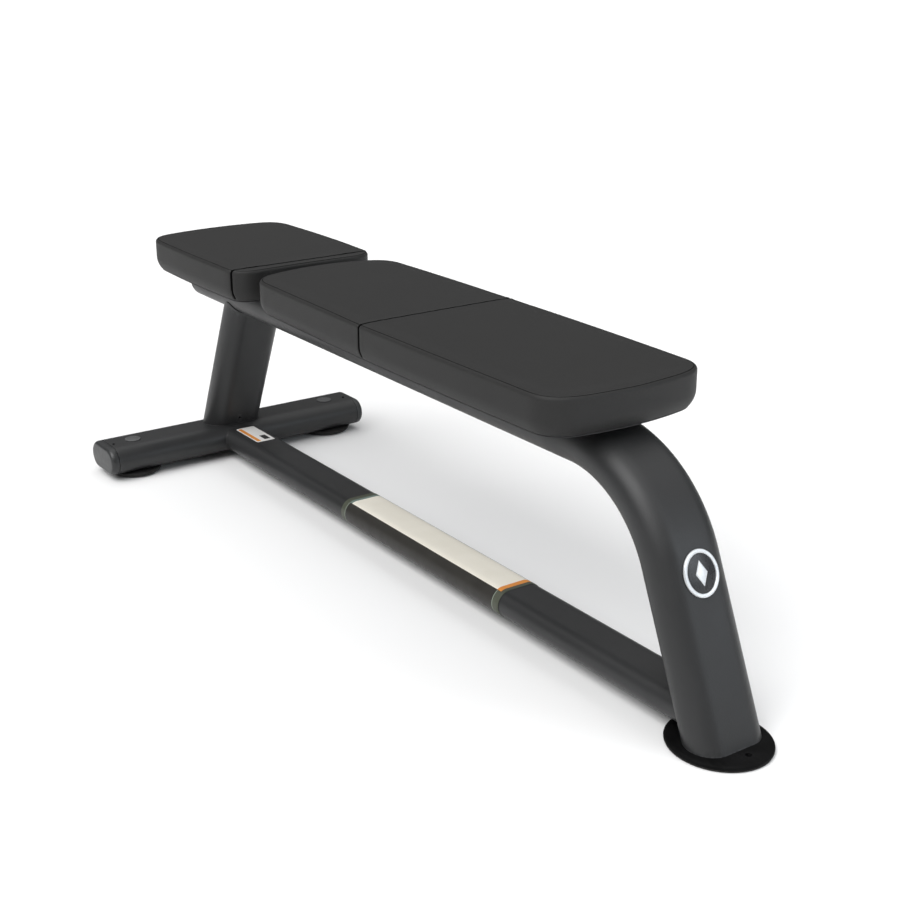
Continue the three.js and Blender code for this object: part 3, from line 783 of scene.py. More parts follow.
def make_front_foot():
    thick = size_mm("front_foot_plate")[2]
    levels = [(0.5, 0), (0.15, 0.15), (0, 0.5), (0, thick - FOOT_RIM_DROP)]
    for angle in quarter(10, 1):
        levels.append((FOOT_RIM_IN * (1 - math.cos(angle)), thick - FOOT_RIM_DROP * (1 - math.sin(angle))))
    mesh = ellipse_stack("foot_plate_body", "front_foot_plate", levels)
    plate = make_piece("foot_plate", mesh, BLACK_STEEL, ["front_foot_plate"], 50)
    drill(plate, [anchor_cutter()])

    thick = size_mm("front_foot_plate_pad")[2]
    levels = [(0.8, 0), (0.2, 0.3), (0, 0.8), (0, thick - 0.3), (0.3, thick)]
    mesh = ellipse_stack("foot_pad_body", "front_foot_plate_pad", levels)
    pad = make_piece("foot_plate_rubber", mesh, RUBBER, ["front_foot_plate_pad"], 50)
    drill(pad, [anchor_cutter(SEAT)])


# ---- Rear feet, plugs and end caps ----------------------------------------------------------------


def make_rubber_foot(side):
    low, high, x, y = stand_mm(f"rubber_foot_{side}")
    height, top, bottom = high[2], (high[0] - low[0]) / 2, RUBBER_FOOT_BOTTOM
    recess, depth, bore = RUBBER_FOOT_RECESS, RUBBER_FOOT_RECESS_DEPTH, BOLT_HOLE_RADIUS
    profile = [(recess, 0.4), (recess + 0.4, 0)]
    for radius in RUBBER_FOOT_GROOVES:
        profile += [(radius, 0), (radius + 0.5, 0.9), (radius + 1.7, 0.9), (radius + 2.2, 0)]
    profile.append((bottom - 1, 0))
    for angle in quarter(12):
        radius = bottom + (top - bottom) * math.sin(angle)
        profile.append((radius, 0.2 + height * 0.8 * (1 - math.cos(angle))))
    profile += [(top, height - 0.5), (top - 0.5, height), (bore, height), (bore, depth), (recess, depth)]
    mesh = lathe("rubber_foot_body", profile, (x, y, 0), 96)
    make_piece(f"foot_{side}", mesh, RUBBER, [f"rubber_foot_{side}"], 50)


def make_access_plug(side):
    low, high, x, y = stand_mm(f"access_plug_{side}")
    radius = (high[0] - low[0]) / 2
    seat_z = CROSS_TOP + SEAT
    rise = high[2] - seat_z
    barrel = seat_z - low[2]
    inner = PLUG_BARREL_RADIUS
    profile = [(0, -barrel), (inner - 1, -barrel), (inner, 1 - barrel), (inner, 0)]
    profile += [(radius - 0.2, 0), (radius, 0.2), (radius, 0.7), (radius - 0.35, 1.15)]
    profile += [(radius - 1.1, 1.45), (radius - 1.9, 1.38), (radius - 2.5, 1.2), (radius - 3.1, 1.32)]
    for k in range(1, 11):
        share = k / 10
        profile.append(((radius - 3.1) * (1 - share), 1.32 + (rise - 1.32) * math.sin(math.pi / 2 * share)))
    mesh = lathe("access_plug_body", profile, (x, y, seat_z), 96)
    make_piece(f"plug_{side}", mesh, PLUG_PLASTIC, [f"access_plug_{side}"], 50)


def make_cap_screw(side):
    low, high, x, y = stand_mm(f"end_cap_screw_{side}")
    head = (high[0] - low[0]) / 2
    base = CROSS_TOP + SEAT
    rise = high[2] - base
    profile = [(0, low[2] - base), (1.5, low[2] - base), (1.5, 0), (head, 0), (head, rise * 0.45)]
    profile += [(head * 0.92, rise * 0.8), (head * 0.7, rise), (1.1, rise)]
    profile += [(1.0, rise * 0.3), (0, rise * 0.3)]
    mesh = lathe("cap_screw_body", profile, (x, y, base), 32)
    make_piece(f"cap_screw_{side}", mesh, BLACK_STEEL, [f"end_cap_screw_{side}"], 50)


def cap_rings(size_u, size_v, rim, dome, dome_in, spigot, origin, axes, outward_way):
    """Rings of a domed plug: its spigot, a lip with a softened edge, a rim and a rounded face."""
    fit = WALL + SEAT
    levels = [(fit + 1, -spigot), (fit, 1 - spigot), (fit, 0.9), (0.5, 0.9), (0.15, 1.05)]
    levels += [(0, 1.4), (0, rim * 0.6), (0, rim)]
    for angle in quarter(12, 1):
        levels.append((dome_in * (1 - math.cos(angle)), rim + dome * math.sin(angle)))
    rings = []
    for inset, height in levels:
        ring = flat_oval(size_u - 2 * inset, size_v - 2 * inset)
        rings.append(place(ring, origin + outward_way * height, *axes))
    return rings


def make_end_caps():
    for side, sign in (("left", 1), ("right", -1)):
        origin = CROSS + sign * CROSS_SIZE[1] / 2 * Y_AXIS
        dome = size_mm(f"cross_tube_end_cap_{side}")[1] - END_CAP_SPIGOT - END_CAP_RIM
        rings = cap_rings(
            CROSS_SIZE[0], CROSS_SIZE[2], END_CAP_RIM, dome, END_CAP_DOME_IN, END_CAP_SPIGOT,
            origin, (X_AXIS, Z_AXIS), sign * Y_AXIS,
        )
        mesh = loft("end_cap_body", rings)
        name = f"end_cap_{side}"
        make_piece(name, mesh, CAP_PLASTIC, [f"cross_tube_end_cap_{side}"], 40)
    origin = np.array([BEAM_REAR, 0, BEAM_Z])
    rings = cap_rings(
        MAIN_TUBE_WIDE, MAIN_TUBE_THICK, BEAM_CAP_RIM, BEAM_CAP_DOME, BEAM_CAP_DOME_IN,
        BEAM_CAP_SPIGOT, origin, (Y_AXIS, Z_AXIS), -X_AXIS,
    )
    mesh = loft("beam_cap_body", rings)
    make_piece("beam_end_cap", mesh, CAP_PLASTIC, ["main_tube_end_cap"], 40)


BOLT_STEPS = 96


def hex_bolt(name, node, head_height):
    """A hexagon-head bolt, head down, with the chamfer that a turned head has."""
    low, high, x, y = stand_mm(node)
    angles = round_angles(BOLT_STEPS)
    to_flat = np.abs((angles + math.pi / 6) % (math.pi / 3) - math.pi / 6)
    edge = BOLT_FLATS / 2 / np.cos(to_flat)
    crown = BOLT_FLATS / 2 * 0.95
    drop = (edge - crown) * math.tan(math.radians(30))
    tall = high[2] - low[2]
    rows = [
        (crown * 0.55, 0.35), (crown * 0.62, 0), (crown, 0), (edge, drop), (edge, head_height),
        (BOLT_SHAFT_RADIUS, head_height), (BOLT_SHAFT_RADIUS, tall - 0.8), (BOLT_SHAFT_RADIUS - 0.8, tall),
    ]
    rings = []
    for radius, height in rows:
        level = np.full(BOLT_STEPS, low[2]) + height
        rings.append(np.column_stack([x + radius * np.cos(angles), y + radius * np.sin(angles), level]))
    mesh = loft(name, rings)
    return make_piece(name, mesh, ZINC, [node], 28)


def make_washer(name, node):
    low, high, x, y = stand_mm(node)
    inner = BOLT_HOLE_RADIUS
    outer, thick = (high[0] - low[0]) / 2, high[2] - low[2]
    soft = 0.2
    profile = [(inner, soft), (inner + soft, 0), (outer - soft, 0), (outer, soft), (outer, thick - soft)]
    profile += [(outer - soft, thick), (inner + soft, thick), (inner, thick - soft)]
    mesh = lathe(name, profile, (x, y, low[2]), 64)
    make_piece(name, mesh, ZINC, [node], 28)


def make_rear_feet():
    for side in ("left", "right"):
        make_rubber_foot(side)
        make_access_plug(side)
        make_cap_screw(side)
        hex_bolt(f"foot_bolt_head_{side}", f"foot_bolt_{side}", FOOT_BOLT_HEAD)
        make_washer(f"foot_washer_ring_{side}", f"foot_washer_{side}")
        repaint(f"foot_nut_{side}", ZINC)


def repaint(node, material):
    """A carried-over CAD node keeps its mesh and gets a procedural material."""
    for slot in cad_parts[node].material_slots:
        slot.material = material


# ---- Pads -----------------------------------------------------------------------------------------


def bezier(start, control, end, steps=160):
    t = np.linspace(0, 1, steps + 1)[:, None]
    return (1 - t) ** 2 * start + 2 * t * (1 - t) * control + t**2 * end


EDGE_STEPS = 2000


class PadOutline:
    """A pad's plan: bowed sides and ends with soft corners, cut into four runs at the corner middles."""

    def __init__(self, name):
        low, high = box_mm(f"{name}_cushion")
        size = PADS[name]
        self.seam_x = low[0] + size["seam_from_rear"]
        rear_x = low[0] + size["rear_bow"]
        front_x = high[0] - size["front_bow"]
        if size["front_bow"] < 0:
            # A hollow end's length is taken at its middle, where it is shortest.
            front_x = low[0] + HEAD_PAD_LENGTH - size["front_bow"]
        rear, front, mid = size["rear_half"], size["front_half"], size["middle_half"]
        side_y = 2 * mid - (rear + front) / 2
        side_x = (rear_x + front_x) / 2
        corners = np.array([(rear_x, -rear), (front_x, -front), (front_x, front), (rear_x, rear)], float)
        controls = np.array(
            [(side_x, -side_y), (front_x + 2 * size["front_bow"], 0), (side_x, side_y),
             (rear_x - 2 * size["rear_bow"], 0)], float,
        )
        radii = [size["rear_corner"], size["front_corner"], size["front_corner"], size["rear_corner"]]
        edges = []
        for i in range(4):
            after = (i + 1) % 4
            length = np.linalg.norm(corners[after] - corners[i])
            full = bezier(corners[i], controls[i], corners[after], EDGE_STEPS)
            first = int(round(EDGE_STEPS * radii[i] / length))
            last = int(round(EDGE_STEPS * (1 - radii[after] / length)))
            edges.append(full[first : last + 1 : 4])
        rounds = [bezier(edges[i - 1][-1], corners[i], edges[i][0]) for i in range(4)]
        self.runs = []
        for i in range(4):
            half = len(rounds[i]) // 2
            after = rounds[(i + 1) % 4]
            self.runs.append(np.vstack([rounds[i][half:-1], edges[i], after[1 : half + 1]]))

    def side_run(self, xs):
        """Points on the -Y side at these x places."""
        run = self.runs[0]
        return np.column_stack([xs, np.interp(xs, run[:, 0], run[:, 1])])

    def end_run(self, index, count):
        """Points along an end from corner middle to corner middle, evenly spaced."""
        run = self.runs[index]
        steps = np.r_[0, np.cumsum(np.linalg.norm(np.diff(run, axis=0), axis=1))]
        places = np.linspace(0, steps[-1], count + 1)
        return np.column_stack([np.interp(places, steps, run[:, k]) for k in range(2)])

    def ring(self, xs, across):
        """One closed ring: the -Y side, the front end, the +Y side and the rear end."""
        side = self.side_run(xs)
        front = self.end_run(1, across)
        rear = self.end_run(3, across)
        other = side[::-1] * (1, -1)
        return np.vstack([side, front[1:-1], other, rear[1:-1]])


CREASE_DEGREES = (8, 16, 25, 34, 43, 49, 53, 56, 58, 60, 62, 64, 67, 71, 77, 83, 90)


def side_profile(height, coarse=False):
    """(inset, height, crease) levels up a cushion's side, from under its edge to the top's rim."""
    levels = [(BOARD_POCKET_INSET, BOARD_POCKET_DEPTH, 0), (BOARD_POCKET_INSET, 0.3, 0)]
    edge = CUSHION_TAPER_IN
    levels += [(edge + 1.2, 0.0, 0), (edge + 0.1, 0.3, 0), (edge - 0.8, 1.2, 0)]
    taper_steps = 3 if coarse else 8
    for k in range(1, taper_steps):
        share = k / taper_steps
        levels.append((CUSHION_TAPER_IN * (1 - share) ** 2, CUSHION_TAPER_HEIGHT * share, 0))
    wall_top = height - CUSHION_CROWN
    wall_bottom = CUSHION_TAPER_HEIGHT + 1.5
    wall_steps = 4 if coarse else 8
    for k in range(wall_steps + 1):
        levels.append((0, wall_bottom + (wall_top - wall_bottom) * k / wall_steps, 0))
    for angle in (22, 45, 68, 90) if coarse else CREASE_DEGREES:
        turn = math.radians(angle)
        away = CUSHION_CROWN * math.radians(angle - SEAM_CREASE_ANGLE)
        crease = math.exp(-((away / CREASE_WIDTH) ** 2))
        rise = wall_top + CUSHION_CROWN * math.sin(turn)
        levels.append((CUSHION_CROWN * (1 - math.cos(turn)), rise, crease))
    return levels


def spread(start, end, spacing):
    count = max(2, int(round((end - start) / spacing)))
    return list(np.linspace(start, end, count + 1))


def pad_rows(outline, spacing, coarse):
    """The x places of a cushion's rows, which are close together at the seam unless coarse."""
    rear_x, front_x = outline.runs[0][0, 0], outline.runs[0][-1, 0]
    seam = outline.seam_x
    if coarse:
        return np.array(spread(rear_x, seam, spacing)[:-1] + spread(seam, front_x, spacing))
    near = SEAM_OFFSETS[-1]
    middle = sorted({-d for d in SEAM_OFFSETS} | set(SEAM_OFFSETS))
    xs = spread(rear_x, seam - near, spacing)[:-1] + [seam + d for d in middle]
    return np.array(xs + spread(seam + near, front_x, min(spacing, (front_x - seam - near) / 3))[1:])


def rim_vertices(rows, across, count, rim_start):
    """The vertex at each (row, column) place round the edge of a cushion's top."""
    index = {}
    for i in range(rows):
        index[i, 0] = rim_start + i
        index[i, across] = rim_start + rows + across - 1 + (rows - 1 - i)
    for j in range(1, across):
        index[rows - 1, j] = rim_start + rows + j - 1
        index[0, j] = rim_start + count - j
    return index


def top_points(xs, across, rim, seam, top_z):
    """The points inside the rim, row by row; the end rows bend to follow the pad's ends."""
    rows = len(xs)
    side = rim[:rows]
    front = rim[rows - 1 : rows + across]
    other = rim[rows + across - 1 : 2 * rows + across - 1][::-1]
    rear = np.vstack([rim[0], rim[2 * rows + across - 1 :][::-1], rim[2 * rows + across - 2]])
    front_start = max(xs[-1] - END_BLEND, seam + SEAM_OFFSETS[-1])
    rear_end = xs[0] + END_BLEND
    grid = []
    for i in range(1, rows - 1):
        front_share = np.clip((xs[i] - front_start) / (xs[-1] - front_start), 0, 1)
        rear_share = np.clip((rear_end - xs[i]) / (rear_end - xs[0]), 0, 1)
        along = i / (rows - 1)
        for j in range(1, across):
            bend = front_share * (front[j, 0] - front[0, 0]) + rear_share * (rear[j, 0] - rear[0, 0])
            reach = along * front[j, 1] / front[-1, 1] + (1 - along) * rear[j, 1] / rear[-1, 1]
            grid.append((side[i, 0] + bend, reach * other[i, 1], top_z))
    return np.array(grid)


def cushion_shape(name, spacing, coarse=False):
    """Points, faces and crease weights of a cushion: rings up its side and a grid over its top."""
    low, high = box_mm(f"{name}_cushion")
    outline = PadOutline(name)
    seam = outline.seam_x
    xs = pad_rows(outline, spacing, coarse)
    across = int(round((high[1] - low[1]) / spacing))
    base = outline.ring(xs, across)
    normals = outward(base)
    levels = side_profile(high[2] - low[2], coarse)
    count, rows = len(base), len(xs)
    rings = []
    for inset, height, _ in levels:
        rings.append(np.column_stack([base - normals * inset, np.full(count, low[2] + height)]))
    grid = top_points(xs, across, rings[-1], seam, high[2])
    index = rim_vertices(rows, across, count, count * (len(levels) - 1))
    inside = [(i, j) for i in range(1, rows - 1) for j in range(1, across)]
    for number, where in enumerate(inside, start=count * len(levels)):
        index[where] = number
    faces = loft_faces(len(levels), count, caps=False)
    for i in range(rows - 1):
        for j in range(across):
            faces.append((index[i, j], index[i, j + 1], index[i + 1, j + 1], index[i + 1, j]))
    faces.append(tuple(range(count)))
    crease = np.concatenate([np.repeat([weight for _, _, weight in levels], count), np.zeros(len(grid))])
    return np.vstack(rings + [grid]), faces, crease, seam


PUFF_CAP = 2.2
START_INSET = 0.3
CLOTH_FRAMES = 20
CLOTH_SETTINGS = dict(
    use_pressure=True, uniform_pressure_force=4, vertex_group_mass="held", quality=6, mass=0.4,
    tension_stiffness=25, compression_stiffness=25, bending_stiffness=4,
)


def held_weights(name, points, seam, free):
    """How firmly each point is held: fully at the bottom, mostly at the seam, a little at the rim."""
    low, high = box_mm(f"{name}_cushion")
    height = points[:, 2] - low[2]
    at_seam = np.exp(-(((points[:, 0] - seam) / 5) ** 2))
    outer = high[1] - np.abs(points[:, 1])
    at_rim = 0.25 * np.exp(-(((height - (high[2] - low[2] - 3)) / 4) ** 2)) * (outer < 30)
    return np.clip(1 - free + 0.8 * at_seam + at_rim, 0, 1)


def settle(piece):
    """Runs cloth with air pressure and no gravity on a piece, and returns its points in mm."""
    cloth = piece.modifiers.new("cloth", "CLOTH")
    for key, value in CLOTH_SETTINGS.items():
        setattr(cloth.settings, key, value)
    cloth.settings.effector_weights.gravity = 0
    cloth.collision_settings.use_collision = False
    cloth.collision_settings.use_self_collision = False
    cloth.point_cache.frame_end = CLOTH_FRAMES
    for step in range(1, CLOTH_FRAMES + 1):
        bpy.context.scene.frame_set(step)
    settled = piece.evaluated_get(bpy.context.evaluated_depsgraph_get())
    points = np.array([v.co for v in settled.to_mesh().vertices]) / MM
    settled.to_mesh_clear()
    return points


def puff(name):
    """How far air pressure moves the skin of a coarse copy of the cushion, held at its seams."""
    points, faces, _, seam = cushion_shape(name, COARSE_SPACING, coarse=True)
    mesh = mesh_from("puff", points, faces, merge=False)
    normals = np.array([v.normal for v in mesh.vertices])
    height = points[:, 2] - box_mm(f"{name}_cushion")[0][2]
    free = np.clip((height - 2) / CUSHION_TAPER_HEIGHT, 0, 1)
    start = points - normals * (START_INSET * free)[:, None]
    mesh.vertices.foreach_set("co", (start * MM).ravel())
    piece = plain_object("puff", mesh)
    group = piece.vertex_groups.new(name="held")
    for i, weight in enumerate(held_weights(name, points, seam, free)):
        group.add([i], float(weight), "REPLACE")
    moved = settle(piece) - points
    bpy.data.objects.remove(piece)
    bpy.data.meshes.remove(mesh)
    bpy.context.scene.frame_set(1)
    length = np.linalg.norm(moved, axis=1)
    moved *= (np.minimum(length, PUFF_CAP) / np.maximum(length, 1e-9))[:, None]
    return points, moved


def carry_over(points, coarse, moved, reach=9.0):
    """The coarse skin's movement at each point, as a smooth average of what is near."""
    result = np.zeros_like(points)
    for first in range(0, len(points), 2000):
        part = points[first : first + 2000]
        square = ((part[:, None, :] - coarse[None, :, :]) ** 2).sum(axis=2)
        nearest = square.min(axis=1, keepdims=True)
        weight = np.exp(-(square - nearest) / (2 * reach**2))
        result[first : first + 2000] = weight @ moved / weight.sum(axis=1, keepdims=True)
    return result


def swell(name, points, normals, height):
    """The skin's points after the puff, which may move them outward or along but never inward."""
    coarse, moved = puff(name)
    offset = carry_over(points, coarse, moved) * np.clip(height / 12, 0, 1)[:, None]
    inward = np.minimum((offset * normals).sum(axis=1), 0)
    return points + offset - inward[:, None] * normals


def seam_relief(points, from_seam, crease, outside):
    """How far out the sewing pushes each point: a groove with a roll beside it, gathers and a crease."""
    groove = SEAM_DEPTH * np.exp(-((from_seam / SEAM_WIDTH) ** 2)) * outside
    roll = ROLL_HEIGHT * np.exp(-(((np.abs(from_seam) - ROLL_AT) / ROLL_WIDTH) ** 2)) * outside
    wave = points[:, 1] / GATHER_PITCH + 1.3 * np.sin(points[:, 1] / GATHER_DRIFT)
    gather = GATHER_DEPTH * np.sin(wave) * np.exp(-((from_seam / GATHER_WIDTH) ** 2)) * outside
    return -groove + roll + gather - CREASE_DEPTH * crease


def make_cushion(name):
    points, faces, crease, seam = cushion_shape(name, SKIN_SPACING)
    height = points[:, 2] - box_mm(f"{name}_cushion")[0][2]
    mesh = mesh_from(name, points, faces, merge=False)
    normals = np.array([v.normal for v in mesh.vertices])
    points = swell(name, points, normals, height)
    from_seam = points[:, 0] - seam
    outside = np.clip((height - 1) / 3, 0, 1)
    points = points + normals * seam_relief(points, from_seam, crease, outside)[:, None]
    mesh.vertices.foreach_set("co", (points * MM).ravel())
    mesh.update()
    finishes = [VINYL, PAINTED_SEAM_SHADE]
    piece = make_piece(f"{name}_upholstery", mesh, finishes, [f"{name}_cushion"], 75)
    # Painted shade: faces in the seam's groove and along the crease round the top's edge take the near-black
    # finish.
    for face in piece.data.polygons:
        corners = list(face.vertices)
        in_seam = abs(from_seam[corners].mean()) < SEAM_SHADE_HALF and outside[corners].mean() > 0.5
        face.material_index = int(in_seam or crease[corners].mean() > CREASE_SHADE_FROM)


def plan_prism(name, outline_levels):
    rings = [np.column_stack([ring, np.full(len(ring), z)]) for ring, z in outline_levels]
    return loft(name, rings)


def make_base_cover(name):
    node = f"{name}_base_cover"
    low, high = box_mm(node)
    outline = PadOutline(name)
    run = outline.runs[0]
    ring = outline.ring(np.array(spread(run[0, 0], run[-1, 0], 8)), 36)
    normals = outward(ring)
    soft = 0.7
    levels = [(COVER_INSET + soft, low[2]), (COVER_INSET + 0.2, low[2] + 0.2), (COVER_INSET, low[2] + soft)]
    levels += [(COVER_INSET, high[2] - soft), (COVER_INSET + soft, high[2])]
    mesh = plan_prism(node, [(ring - normals * inset, z) for inset, z in levels])
    piece = make_piece(f"{name}_underside", mesh, BASE_COVER, [node], 50)
    holes = [rod_mesh((x, y, low[2] - 3), Z_AXIS, COVER_HOLE_RADIUS, 10) for x, y in bolt_places(name)]
    drill(piece, holes)


def bolt_places(name):
    count = 2 * PADS[name]["mounts"]
    return [middle_mm(f"{name}_bolt_{i + 1}")[:2] for i in range(count)]


def rounded_rectangle(size_x, size_y, radius, steps=10):
    points = []
    for k, (sx, sy) in enumerate(((1, -1), (1, 1), (-1, 1), (-1, -1))):
        centre = np.array([sx * (size_x / 2 - radius), sy * (size_y / 2 - radius)])
        for step in range(steps + 1):
            angle = -math.pi / 2 + math.pi / 2 * (k + step / steps)
            points.append(centre + radius * np.array([math.cos(angle), math.sin(angle)]))
    return np.array(points)


def make_mount_plate(name, number):
    node = f"{name}_mount_plate_{number}"
    low, high = box_mm(node)
    centre, size = (low + high) / 2, high - low
    levels = []
    edge = [(0.8, low[2]), (0.25, low[2] + 0.25), (0, low[2] + 0.8), (0, high[2] - 0.5), (0.5, high[2])]
    for inset, z in edge:
        ring = rounded_rectangle(size[0] - 2 * inset, size[1] - 2 * inset, PLATE_CORNER - inset)
        levels.append((ring + centre[:2], z))
    mesh = plan_prism(node, levels)
    piece = make_piece(f"{name}_bracket_{number}", mesh, POWDER_COAT, [node], 50)
    holes = []
    for x, y in bolt_places(name):
        if abs(x - centre[0]) < size[0] / 2:
            holes.append(rod_mesh((x, y, low[2] - 3), Z_AXIS, BOLT_HOLE_RADIUS, 12))
    drill(piece, holes)


def make_pad(name):
    make_cushion(name)
    make_base_cover(name)
    repaint(f"{name}_board", PLYWOOD)
    for number in range(1, PADS[name]["mounts"] + 1):
        make_mount_plate(name, number)
    for number in range(1, 2 * PADS[name]["mounts"] + 1):
        hex_bolt(f"{name}_screw_{number}", f"{name}_bolt_{number}", PAD_BOLT_HEAD)
        make_washer(f"{name}_screw_washer_{number}", f"{name}_washer_{number}")
        repaint(f"{name}_tee_nut_{number}", ZINC)


# ---- Badge, wrap and label ------------------------------------------------------------------------


LOZENGE_HALF_WIDE = 10.0
LOZENGE_HALF_TALL = 17.0


def make_badge():
    """A plain oval badge: a raised rim round a dark field with a lozenge on it."""
    low, high = box_mm("leg_badge")
    middle = (low + high) / 2
    half_y = (high[1] - low[1]) / 2
    half_up = ((high[2] - low[2]) / 2 - 0.75) / math.cos(FRONT_ANGLE)
    outward_way = np.array([math.cos(FRONT_ANGLE), 0, math.sin(FRONT_ANGLE)])
    up = np.array([-math.sin(FRONT_ANGLE), 0, math.cos(FRONT_ANGLE)])
    face_x = LEG_FLOOR_X - FRONT_RAKE * middle[2] + MAIN_TUBE_THICK / 2 / math.cos(FRONT_ANGLE)
    origin = np.array([face_x, 0, middle[2]])
    angles = round_angles(120)

    def oval(inset, height):
        ring = np.column_stack([(half_y - inset) * np.cos(angles), (half_up - inset) * np.sin(angles)])
        return place(ring, origin + outward_way * height, Y_AXIS, up)

    body = [(0.3, 0.35), (0, 0.6), (0, 2.6), (0.3, 3.1), (0.9, 3.45), (1.6, 3.5), (4.4, 3.5), (4.9, 3.35)]
    body += [(5.2, 3.0), (5.2, 1.6)]
    mesh = loft("badge_body", [oval(inset, height) for inset, height in body])
    make_piece("badge_rim", mesh, BADGE_SILVER, ["leg_badge"], 40)

    field = [(5.4, 1.65), (5.4, 2.1), (6.0, 2.3)]
    mesh = loft("badge_field_body", [oval(inset, height) for inset, height in field])
    make_piece("badge_field", mesh, BADGE_ENAMEL, (), 40)

    def lozenge(inset, height):
        wide, tall = LOZENGE_HALF_WIDE - inset, LOZENGE_HALF_TALL - 1.6 * inset
        corners = np.array([(wide, 0), (0, tall), (-wide, 0), (0, -tall)])
        ring = np.vstack([np.linspace(corners[i], corners[(i + 1) % 4], 8, endpoint=False) for i in range(4)])
        return place(ring, origin + outward_way * height, Y_AXIS, up)

    mark = [(0, 2.32), (0, 2.9), (0.8, 3.4), (1.6, 3.5)]
    mesh = loft("badge_mark_body", [lozenge(inset, height) for inset, height in mark])
    make_piece("badge_mark", mesh, BADGE_SILVER, (), 30)


WRAP_REAR_LINE = (11.3, 12.8)
WRAP_FRONT_LINE = (439.0, 440.5)
PANEL_FROM, PANEL_TO = 18.0, 437.6
STRIPE_TO = 447.2
PANEL_HALF = 29.0
FILM_THICK = 0.5


def make_wrap():
    low, high = box_mm("stretcher_wrap")
    centre = (low + high) / 2
    length = high[0] - low[0]
    tall, wide = high[2] - low[2], high[1] - low[1]
    rings = []
    outer = [(0.2, 0), (0.05, 0.05), (0, 0.2), (0, length - 0.2), (0.05, length - 0.05), (0.2, length)]
    for inset, along in outer + [(FILM_THICK, length), (FILM_THICK, 0)]:
        ring = flat_oval(wide - 2 * inset, tall - 2 * inset, 36, 4)
        rings.append(place(ring, np.array([low[0] + along, 0, centre[2]]), Y_AXIS, Z_AXIS))
    mesh = loft("wrap_body", rings, loop=True)
    marks = [*WRAP_REAR_LINE, *WRAP_FRONT_LINE, PANEL_FROM, PANEL_TO, STRIPE_TO]
    score(mesh, 0, [low[0] + mark for mark in marks])
    score(mesh, 1, [-PANEL_HALF, PANEL_HALF])

    def choose(place_mm, _):
        along = place_mm[0] - low[0]
        on_panel = abs(place_mm[1]) < PANEL_HALF and place_mm[2] > centre[2]
        if on_panel and PANEL_FROM < along < PANEL_TO:
            return 3
        if on_panel and WRAP_REAR_LINE[0] < along < PANEL_FROM:
            return 5
        if on_panel and PANEL_TO < along < STRIPE_TO:
            return 4
        if WRAP_REAR_LINE[0] < along < WRAP_REAR_LINE[1] or WRAP_FRONT_LINE[0] < along < WRAP_FRONT_LINE[1]:
            return 2
        return 0 if WRAP_REAR_LINE[1] < along < WRAP_FRONT_LINE[0] else 1

    finishes = [WRAP_DARK, WRAP_BAND, WRAP_LINE, WRAP_CREAM, FILM_ORANGE, WRAP_TEAL]
    piece = make_piece("stretcher_film", mesh, finishes, ["stretcher_wrap"])
    colour_faces(piece.data, choose)


LABEL_MARGIN = 4.0
LABEL_BAND = (2.2, 10.0)
LABEL_BLOCK_X = (58.0, 8.0)
LABEL_BLOCK_Y = (20.0, 6.0)
LABEL_CORNER = 2.5


def make_label():
    """A white label with a plain orange band and a plain black block."""
    low, high = box_mm("stretcher_label")
    centre, size = (low + high) / 2, high - low
    levels = []
    for inset, z in ((0.1, low[2]), (0, low[2] + 0.1), (0, high[2] - 0.15), (0.15, high[2])):
        ring = rounded_rectangle(size[0] - 2 * inset, size[1] - 2 * inset, LABEL_CORNER)
        levels.append((ring + centre[:2], z))
    mesh = plan_prism("label_body", levels)
    band_x = (low[0] + LABEL_MARGIN, high[0] - LABEL_MARGIN)
    band_y = (low[1] + LABEL_BAND[0], low[1] + LABEL_BAND[1])
    block_x = (low[0] + LABEL_BLOCK_X[0], high[0] - LABEL_BLOCK_X[1])
    block_y = (low[1] + LABEL_BLOCK_Y[0], high[1] - LABEL_BLOCK_Y[1])
    score(mesh, 1, [*band_y, *block_y])
    score(mesh, 0, [*band_x, *block_x])

    def choose(place_mm, normal):
        x, y = place_mm[:2]
        if normal.z < 0.5:
            return 0
        if band_x[0] < x < band_x[1] and band_y[0] < y < band_y[1]:
            return 1
        return 2 if block_x[0] < x < block_x[1] and block_y[0] < y < block_y[1] else 0

    finishes = [FILM_WHITE, FILM_ORANGE, FILM_BLACK]
    piece = make_piece("stretcher_sticker", mesh, finishes, ["stretcher_label"])
    colour_faces(piece.data, choose)


# ---- Camera, lights and floor ---------------------------------------------------------------------

CAMERA_AT = (1.8791, -1.2628, 1.0266)
CAMERA_AZIMUTH = 55.2
CAMERA_ELEVATION = 19.96
CAMERA_LENS = 60.24


def make_camera():
    data = bpy.data.cameras.new("camera")
    data.lens = CAMERA_LENS
    data.sensor_width = 36
    data.clip_end = 100
    camera = plain_object("camera", data)
    camera.location = CAMERA_AT
    camera.rotation_euler = (math.radians(90 - CAMERA_ELEVATION), 0, math.radians(CAMERA_AZIMUTH))
    bpy.context.scene.camera = camera


def area_light(name, location, target, size, watts, colour):
    data = bpy.data.lights.new(name, "AREA")
    data.shape = "RECTANGLE"
    data.size, data.size_y = size
    data.energy = watts
    data.color = colour
    light = plain_object(name, data)
    light.location = location
    light.rotation_euler = (Vector(target) - Vector(location)).to_track_quat("-Z", "Y").to_euler()


SKY_HORIZON = 0.04
SKY_ZENITH = 1.6
SKY_POWER = 2.4
SUN_STRENGTH = 2.1
SUN_ANGLE = 50
SUN_TURN = (40, 0, 12)
FLOOR_RADIUS = 40
FLOOR_DROP = 0.0005
FRONT_BOX = dict(
    location=(2.95, 1.6, 1.4), target=(0.65, 0, 0.3), size=(1.4, 1.6), watts=20, colour=(0.86, 0.93, 1.0)
)


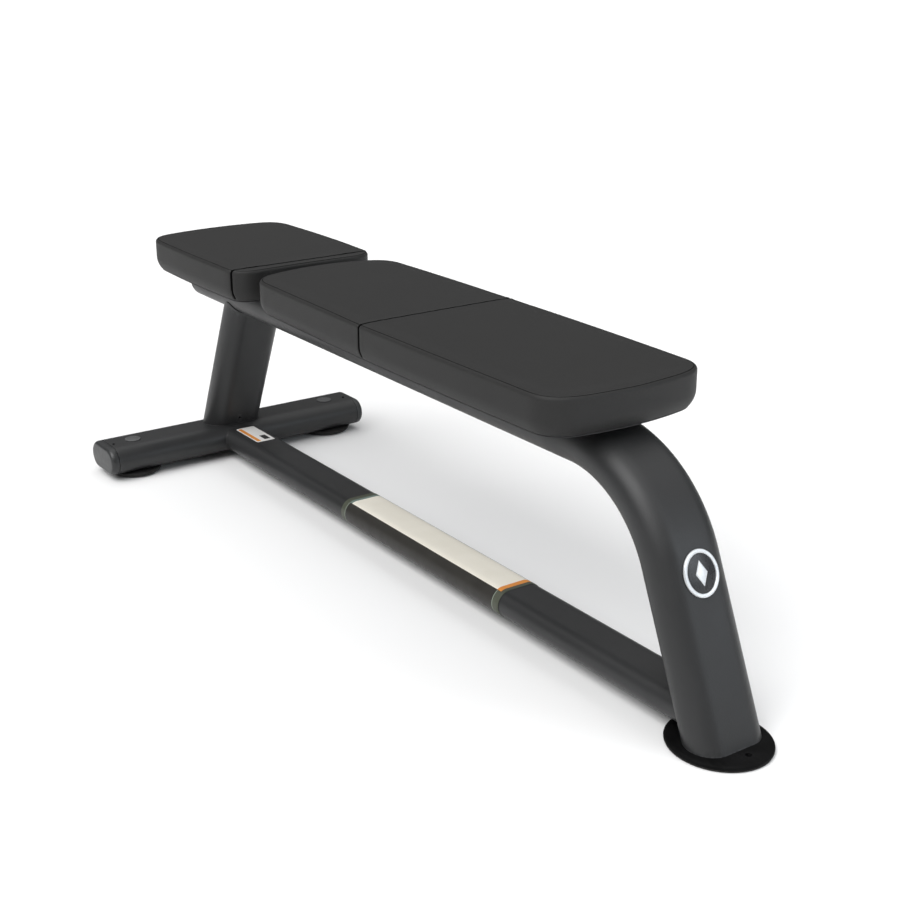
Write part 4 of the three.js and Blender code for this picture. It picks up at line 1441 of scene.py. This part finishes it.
def make_sky():
    """A studio sky, dim at the horizon and bright overhead, that shows as a plain white backdrop."""
    world = bpy.data.worlds.new("studio")
    world.use_nodes = True
    tree = world.node_tree
    way = add_node(tree, "ShaderNodeTexCoord").outputs["Generated"]
    up = add_node(tree, "ShaderNodeSeparateXYZ", {"Vector": way}).outputs["Z"]
    rise = add_node(tree, "ShaderNodeMapRange", {"Value": up}).outputs["Result"]
    curve = add_node(tree, "ShaderNodeMath", {0: rise, 1: SKY_POWER}, operation="POWER").outputs[0]
    limits = {"Value": curve, "To Min": SKY_HORIZON, "To Max": SKY_ZENITH}
    sky = add_node(tree, "ShaderNodeMapRange", limits).outputs["Result"]
    seen_directly = add_node(tree, "ShaderNodeLightPath").outputs["Is Camera Ray"]
    strength = add_node(tree, "ShaderNodeMath", {0: sky, 1: seen_directly}, operation="MAXIMUM")
    background = tree.nodes["Background"]
    tree.links.new(strength.outputs[0], background.inputs["Strength"])
    background.inputs["Color"].default_value = (1, 1, 1, 1)
    bpy.context.scene.world = world


def soft_sun():
    data = bpy.data.lights.new("soft_sun", "SUN")
    data.energy = SUN_STRENGTH
    data.angle = math.radians(SUN_ANGLE)
    light = plain_object("soft_sun", data)
    light.rotation_euler = [math.radians(turn) for turn in SUN_TURN]


def make_stage():
    finish = Finish("studio_floor", (0.90, 0.90, 0.90), 0.9, Specular_IOR_Level=0.05)
    finish.tint(finish.noise(900, 3), (0.91, 0.91, 0.91))
    where = (0, 0, -FLOOR_DROP)
    bpy.ops.mesh.primitive_circle_add(vertices=96, radius=FLOOR_RADIUS, fill_type="NGON", location=where)
    floor = bpy.context.object
    floor.name = "studio_floor"
    floor.data.materials.append(finish.done())

    make_sky()
    soft_sun()
    area_light("front_box", **FRONT_BOX)

    settings = bpy.context.scene.view_settings
    settings.view_transform = "Standard"
    settings.look = "None"


# ---- Build ----------------------------------------------------------------------------------------

make_camera()
make_stage()
make_main_tube()
make_cross_tube()
make_rear_leg()
make_stretcher()
make_front_foot()
make_rear_feet()
make_end_caps()
for pad in PADS:
    make_pad(pad)
make_badge()
make_wrap()
make_label()
